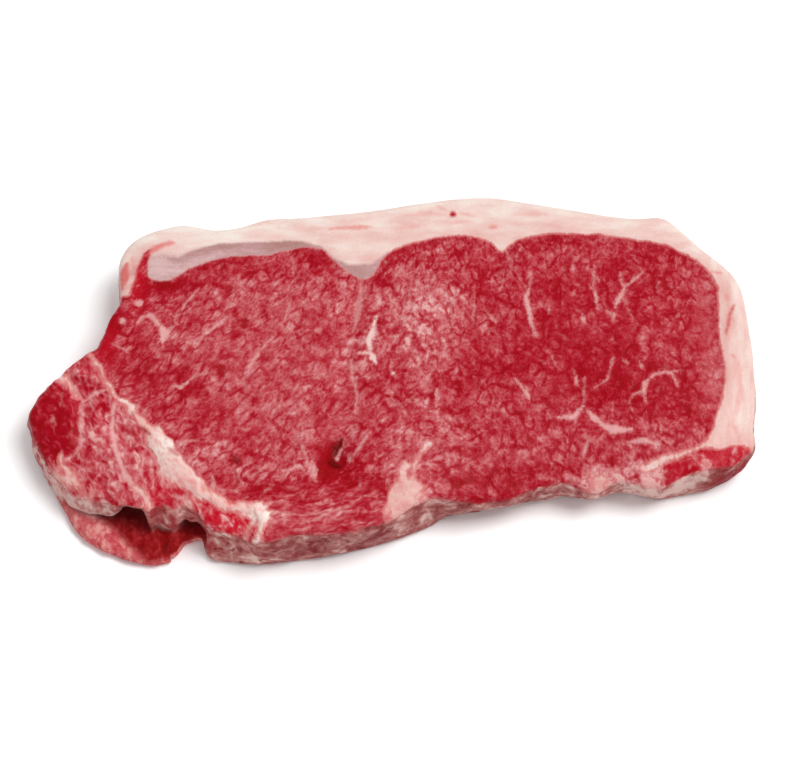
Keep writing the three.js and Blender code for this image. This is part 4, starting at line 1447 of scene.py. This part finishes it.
def lean_pattern(tree, grain, place, turned, tail_share):
    """From 0, a wet gap between bundles, to 1, a pale thread: the eye's or the tail's pattern, with
    its distance from 0.5 multiplied by the contrast."""
    pattern = mix(tree, tail_share, eye_pattern(tree, grain, place), tail_pattern(tree, turned))
    return plus(tree, 0.5, times(tree, attribute(tree, "contrast"), minus(tree, pattern, 0.5)))


print("the wavy end is turned", round(float(np.degrees(WAVE_TURN))), "degrees")

# %% The lean's colour
LEAN_STOPS = [
    (0.0, 154, 4, 28), (0.2, 168, 18, 38), (0.36, 179, 47, 59), (0.5, 191, 77, 84), (0.64, 203, 107, 112),
    (0.78, 214, 138, 139), (0.92, 230, 172, 168),
]
FRESH_RED = under_gloss(204, 24, 44)


def lean_colour(tree, pattern):
    """The pattern shifted by the tone, through the ramp of reds, and brighter where it is fresh."""
    shifted = plus(tree, pattern, attribute(tree, "tone"), times(tree, 0.5, attribute(tree, "pale")))
    red = ramp(tree, shifted, LEAN_STOPS)
    bright = times(tree, 0.85, attribute(tree, "fresh"), ease(tree, pattern, 0.85, 0.45))
    return blend(tree, bright, red, FRESH_RED)


print(len(LEAN_STOPS), "reds from wet gap to pale thread")

# %% [markdown]
# ## Fat, silverskin and veins
#
# Fat is waxy and even: cream with a pink cast, faint cloudy patches and fine pores. Silverskin is
# greyer and mauve, with fine streaks along its length. Veins are the same fat seen through a film
# of meat juice, so they are pinker the thinner they are.

# %% Colours of the pale tissues
FAT_STOPS = [(0.1, 216, 142, 138), (0.3, 229, 178, 170), (0.5, 236, 200, 192), (0.68, 242, 221, 212),
             (0.85, 246, 235, 225)]
BLOTCH = under_gloss(222, 118, 118)
BLOOD_STOPS = [(0.3, 232, 128, 116), (0.75, 222, 98, 94), (1.0, 186, 28, 44)]
SILVER_STOPS = [(0.1, 178, 132, 124), (0.3, 187, 143, 140), (0.5, 199, 156, 156), (0.8, 220, 184, 182)]
VEIN_COLOUR = under_gloss(230, 170, 168)
WHITEST_VEIN = under_gloss(240, 204, 197)
THIN_FAT = under_gloss(212, 92, 96)
RIGHT_SIDE = (84.0, 94.0)  # between these X the fat's clouds turn to run along the right side


def fat_colour(tree, place, turned):
    """Cream to pink by clouds along the cap, a little darker in pores, red in blotches and stains."""
    across = add_node(tree, "ShaderNodeSeparateXYZ", {0: place}).outputs[0]
    clouds = mix(tree, ease(tree, across, *RIGHT_SIDE),
                 noise(tree, place, (9.0, 3.6, 4.0), detail=3.0, roughness=0.5),
                 noise(tree, place, (2.8, 10.0, 4.0), detail=3.0, roughness=0.5))
    pores = noise(tree, place, 0.5, detail=1.5)
    red_left = attribute(tree, "red_left")
    value = plus(tree, 0.5, around_middle(tree, clouds, 0.7), around_middle(tree, pores, 0.26),
                 attribute(tree, "fat_tone"), times(tree, -0.15, red_left))
    blotches = ease(tree, noise(tree, warped(tree, turned, 2.0, 1.5), (1.5, 2.8, 1.5), detail=1.0), 0.4, 0.72)
    base = blend(tree, times(tree, blotches, red_left), ramp(tree, value, FAT_STOPS), BLOTCH)
    rough_edge = around_middle(tree, noise(tree, place, 1.4), 1.2)
    edge = ease(tree, plus(tree, attribute(tree, "stain_depth"), rough_edge), -0.9, 0.5)
    stain_red = attribute(tree, "stain_red")
    return blend(tree, times(tree, edge, stain_red), base, ramp(tree, stain_red, BLOOD_STOPS))


def silver_colour(tree, place):
    """Lilac grey, paler in the lobe and tan where it thins, with fine streaks along its length, and the
    painted shade and highlight of a fold.
    """
    streaks = noise(tree, place, (3.5, 0.9, 1.0), detail=2.0)
    fine = noise(tree, place, 0.7, detail=1.0)
    value = plus(tree, 0.5, around_middle(tree, streaks, 0.6), around_middle(tree, fine, 0.35),
                 attribute(tree, "silver_tone_and_shade"))
    return ramp(tree, value, SILVER_STOPS)


def vein_colour(tree):
    """Pink, and nearly white for the few veins whose whiteness is above 1."""
    return blend(tree, ease(tree, attribute(tree, "vein_white"), 1.0, 1.3), VEIN_COLOUR, WHITEST_VEIN)


print(len(FAT_STOPS), "shades of fat and", len(SILVER_STOPS), "of silverskin")

# %% [markdown]
# ## Wall, caves and flap
#
# The membrane on the wall has dried a little: greyish brown with pale smears and dark slits. The
# caves get painted shade, nearly black-red, because almost no light gets back out of them.

# %% Colours of the wall
MEMBRANE_STOPS = [(0.25, 136, 40, 46), (0.42, 158, 84, 82), (0.58, 186, 122, 117), (0.78, 224, 186, 178)]
THIN_MEMBRANE = under_gloss(186, 58, 66)
SLIT = under_gloss(120, 16, 24)
# painted shade of the caves: a fixed near-black red
CAVE_SHADE = linear(92, 8, 12)
FLAP_STOPS = [(0.3, 112, 0, 8), (0.5, 144, 14, 26), (0.7, 176, 50, 56)]
FLAP_FAT_STOPS = [(0.3, 198, 64, 74), (0.5, 216, 104, 108), (0.7, 238, 166, 158)]
FLAP_SLANT = (-121.0, -125.0)  # X plus Y where the flap's red gives way to pink on its left


def membrane_colour(tree, place):
    """Brown-mauve to pale grey-pink by blotchy noise, with dark red where the slits are."""
    smears = noise(tree, warped(tree, place, 4.0, 3.0), (5.0, 5.0, 4.5), detail=2.5, roughness=0.6)
    fine = noise(tree, place, (1.4, 1.4, 2.0), detail=1.5)
    value = plus(tree, 0.48, around_middle(tree, smears, 1.2), around_middle(tree, fine, 0.4),
                 attribute(tree, "wall_tone"))
    thin = times(tree, attribute(tree, "wall_red"), ease(tree, plus(tree, smears, fine), 1.2, 0.8))
    base = blend(tree, thin, ramp(tree, value, MEMBRANE_STOPS), THIN_MEMBRANE)
    small_slits = noise(tree, warped(tree, place, 3.0, 2.0), (3.2, 3.2, 2.2), detail=2.0)
    dark = maths(tree, "MAXIMUM", ease(tree, small_slits, 0.6, 0.72), attribute(tree, "slits"))
    return blend(tree, times(tree, 0.85, dark), base, SLIT)


def flap_colour(tree, place):
    """Deep wet red, with a band of pink fat along its rim that widens to the left."""
    smears = noise(tree, place, (3.0, 5.0, 2.0), detail=3.0, roughness=0.6)
    fine = noise(tree, place, 1.2, detail=1.5)
    deep = ramp(tree, plus(tree, around_middle(tree, fine, 0.35), smears), FLAP_STOPS)
    pink = ramp(tree, plus(tree, smears, around_middle(tree, fine, 0.5)), FLAP_FAT_STOPS)
    split = add_node(tree, "ShaderNodeSeparateXYZ", {0: place})
    slant = plus(tree, split.outputs[0], split.outputs[1], times(tree, 6.0, smears))
    left = times(tree, 0.92, ease(tree, slant, *FLAP_SLANT))
    rim = times(tree, 0.8, attribute(tree, "flap_rim"))
    return blend(tree, maths(tree, "MAXIMUM", left, rim), deep, pink)


print(len(MEMBRANE_STOPS), "shades of membrane and", len(FLAP_STOPS), "of the flap")

# %% [markdown]
# ## One material for all of it
#
# The steak is one piece, so it has one material. A slot for each tissue would cut the borders along
# the mesh's edges. Here the tissues are layers of colour, one over the other, and each layer's share
# comes from its depth, made ragged by a fine jitter, and by hairs along the grain where it frays.

# %% The layers
VEIN_EDGE = (-0.5, 0.6)  # millimetres of depth over which each tissue fades in
MEMBRANE_EDGE = (0.2, 0.75)
SILVER_EDGE = (-0.4, 0.9)
CREASE_EDGE = (-0.6, 0.5)
HAIR = (0.9, 2.6, 1.1)
CREASE_STOPS = [(0.9, 160, 4, 30), (1.0, 112, 12, 20)]


def layered_colour(tree, place, grain, turned, tail_share, pattern):
    """Lean, then veins, membrane, fat, silverskin, creases, flap and the caves' painted shade, each blended
    over what is under it by its share. Also gives the shares of the fat and of the membrane."""
    jitter = minus(tree, noise(tree, place, 0.9, detail=2.0), 0.5)
    hairs = mix(tree, tail_share, noise(tree, grain, HAIR), noise(tree, turned, HAIR))
    hairs = around_middle(tree, hairs, 2.2)
    colour = lean_colour(tree, pattern)

    edge = plus(tree, attribute(tree, "vein_depth"), times(tree, 1.2, jitter), times(tree, 0.35, hairs))
    vein_share = times(tree, ease(tree, edge, *VEIN_EDGE), attribute(tree, "vein_white"))
    colour = blend(tree, vein_share, colour, vein_colour(tree))

    membrane = attribute(tree, "membrane")
    blots = around_middle(tree, noise(tree, place, (4.5, 4.5, 2.0), detail=1.0), 1.3)
    blots = plus(tree, blots, times(tree, 0.8, jitter))
    edge = plus(tree, membrane, times(tree, blots, ease(tree, membrane, 0.0, 0.2)))
    wall_share = ease(tree, edge, *MEMBRANE_EDGE)
    colour = blend(tree, wall_share, colour, membrane_colour(tree, place))

    fray = attribute(tree, "fray")
    edge = plus(tree, attribute(tree, "fat_depth"), times(tree, 0.5, jitter), times(tree, fray, hairs))
    fat_share = ease(tree, edge, plus(tree, -0.4, times(tree, -0.5, fray)),
                     plus(tree, 0.4, times(tree, 0.4, fray)))
    bare = minus(tree, 1.0, times(tree, 0.94, wall_share))
    colour = blend(tree, times(tree, fat_share, bare), colour, fat_colour(tree, place, turned))
    # where the fat thins out over the lean, the red shines through it
    fat_rim = times(tree, 2.2, fat_share, bare, minus(tree, 1.0, fat_share))
    colour = blend(tree, fat_rim, colour, THIN_FAT)

    edge = plus(tree, attribute(tree, "silver_depth"), times(tree, 0.9, jitter))
    colour = blend(tree, ease(tree, edge, *SILVER_EDGE), colour, silver_colour(tree, place))

    dark = attribute(tree, "crease_dark")
    edge = plus(tree, attribute(tree, "crease_depth"), times(tree, 1.4, jitter))
    crease_share = times(tree, ease(tree, edge, *CREASE_EDGE), dark)
    colour = blend(tree, crease_share, colour, ramp(tree, dark, CREASE_STOPS))
    colour = blend(tree, attribute(tree, "flap"), colour, flap_colour(tree, place))
    # painted shade in the caves and under the lip
    colour = blend(tree, attribute(tree, "painted_cave_shade"), colour, CAVE_SHADE)
    return colour, fat_share, wall_share


print("hairs of the frayed edges", HAIR[0], "mm wide and", HAIR[1], "mm long")

# %% The steak's material
FIBRE_RELIEF = 0.22  # millimetres from a gap between bundles to a fibre's crown
# the dense wet surface mirrors little, and light goes a short way in, red furthest
WET_FINISH = {
    "IOR": 1.36, "Specular IOR Level": 0.13, "Subsurface Weight": 0.12,
    "Subsurface Radius": (1.0, 0.35, 0.25), "Subsurface Scale": 1.5 * MM,
}


def steak_material():
    """One Principled shader whose colour, roughness and bump follow the tissue at each point."""
    material = bpy.data.materials.new("raw_beef")
    material.use_nodes = True
    tree = material.node_tree
    shader = tree.nodes["Principled BSDF"]
    place = stretched(tree, add_node(tree, "ShaderNodeTexCoord", {}).outputs["Object"], MM)
    grain = attribute(tree, "grain", "Vector")
    turned = turned_back(tree, place, TAIL_TURN)
    tail_share = ease(tree, attribute(tree, "in_tail"), -0.5, 1.5)
    pattern = lean_pattern(tree, grain, place, turned, tail_share)
    colour, fat_share, wall_share = layered_colour(tree, place, grain, turned, tail_share, pattern)
    # painted light on the tail's slope: the colour is scaled up there
    inputs = {0: colour, "Scale": plus(tree, 1.0, attribute(tree, "painted_slope_light"))}
    colour = add_node(tree, "ShaderNodeVectorMath", inputs, operation="SCALE").outputs[0]

    # wet gaps are glossier than the fibres, and fat and the dried membrane are duller than lean
    roughness = plus(tree, 0.34, times(tree, 0.12, fat_share), times(tree, 0.2, wall_share),
                     times(tree, 0.2, minus(tree, 0.5, pattern)))
    height = times(tree, minus(tree, 1.0, times(tree, 0.8, fat_share)), minus(tree, pattern, 0.5))
    inputs = {"Height": height, "Strength": 1.0, "Distance": FIBRE_RELIEF * MM}
    plug(tree, shader.inputs["Base Color"], colour)
    plug(tree, shader.inputs["Roughness"], roughness)
    plug(tree, shader.inputs["Normal"], add_node(tree, "ShaderNodeBump", inputs).outputs[0])
    for name, value in WET_FINISH.items():
        shader.inputs[name].default_value = value
    print(len(tree.nodes), "nodes in the material")
    return material


mesh.materials.append(steak_material())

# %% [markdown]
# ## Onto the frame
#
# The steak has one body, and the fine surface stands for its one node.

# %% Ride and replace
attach(steak, "root")
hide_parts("steak")
print("raw_steak stands for the node steak")

# %% [markdown]
# ## Floor, light and camera
#
# The steak lies on a plain white surface, as in a shop's catalogue. The light is a wide soft window
# above it on the right, a little behind its middle, which leaves the front wall in half shade, and a
# bright even surround. The camera stands in front and looks down at 62 degrees through a long lens.

# %% Floor
FLOOR_HALF = 4.0  # metres
board = bpy.data.materials.new("white_board")
board.use_nodes = True
board_shader = board.node_tree.nodes["Principled BSDF"]
board_shader.inputs["Base Color"].default_value = (0.96, 0.96, 0.96, 1)
board_shader.inputs["Roughness"].default_value = 0.8

floor_mesh = bpy.data.meshes.new("floor")
floor_corners = [(side * FLOOR_HALF, end * FLOOR_HALF, 0)
                 for side, end in ((-1, -1), (1, -1), (1, 1), (-1, 1))]
floor_mesh.from_pydata(floor_corners, [], [(0, 1, 2, 3)])
floor_mesh.materials.append(board)
floor = bpy.data.objects.new("floor", floor_mesh)
bpy.context.scene.collection.objects.link(floor)
print("floor", 2 * FLOOR_HALF, "m wide")

# %% Light
scene = bpy.context.scene
scene.view_settings.view_transform = "Standard"
surround = bpy.data.worlds.new("bright_surround")
surround.use_nodes = True
background = surround.node_tree.nodes["Background"]
background.inputs["Color"].default_value = (1, 1, 1, 1)
background.inputs["Strength"].default_value = 0.66
scene.world = surround

window = bpy.data.lights.new("window", "AREA")
window.shape = "SQUARE"
window.size = 1.3
window.energy = 55
window_object = bpy.data.objects.new("window", window)
window_object.location = (1.15, 0.1, 2.45)
window_object.rotation_euler = (-window_object.location).to_track_quat("-Z", "Y").to_euler()
scene.collection.objects.link(window_object)
print("window at", tuple(round(value, 2) for value in window_object.location), "m")

# %% Camera
ELEVATION = np.radians(62)
DISTANCE = 0.75  # metres
AIM = Vector((2.0 + shift[0], -4.8 + shift[1], 10.0)) * MM  # a little in front of the steak's middle
camera = bpy.data.objects.new("camera", bpy.data.cameras.new("camera"))
camera.data.lens = 116.3
camera.data.sensor_width = 36
looking = Vector((0, np.cos(ELEVATION), -np.sin(ELEVATION)))
camera.location = AIM - DISTANCE * looking
camera.rotation_euler = looking.to_track_quat("-Z", "Y").to_euler()
scene.collection.objects.link(camera)
scene.camera = camera
print("camera", DISTANCE, "m away")

# %% [markdown]
# ## Sizes, and done
#
# The imported solid's box is printed as its size. The looks may not change the steak's size.

# %% Print the packed size
print("packed size", [round(value / MM, 1) for value in cad_high - cad_low], "mm")
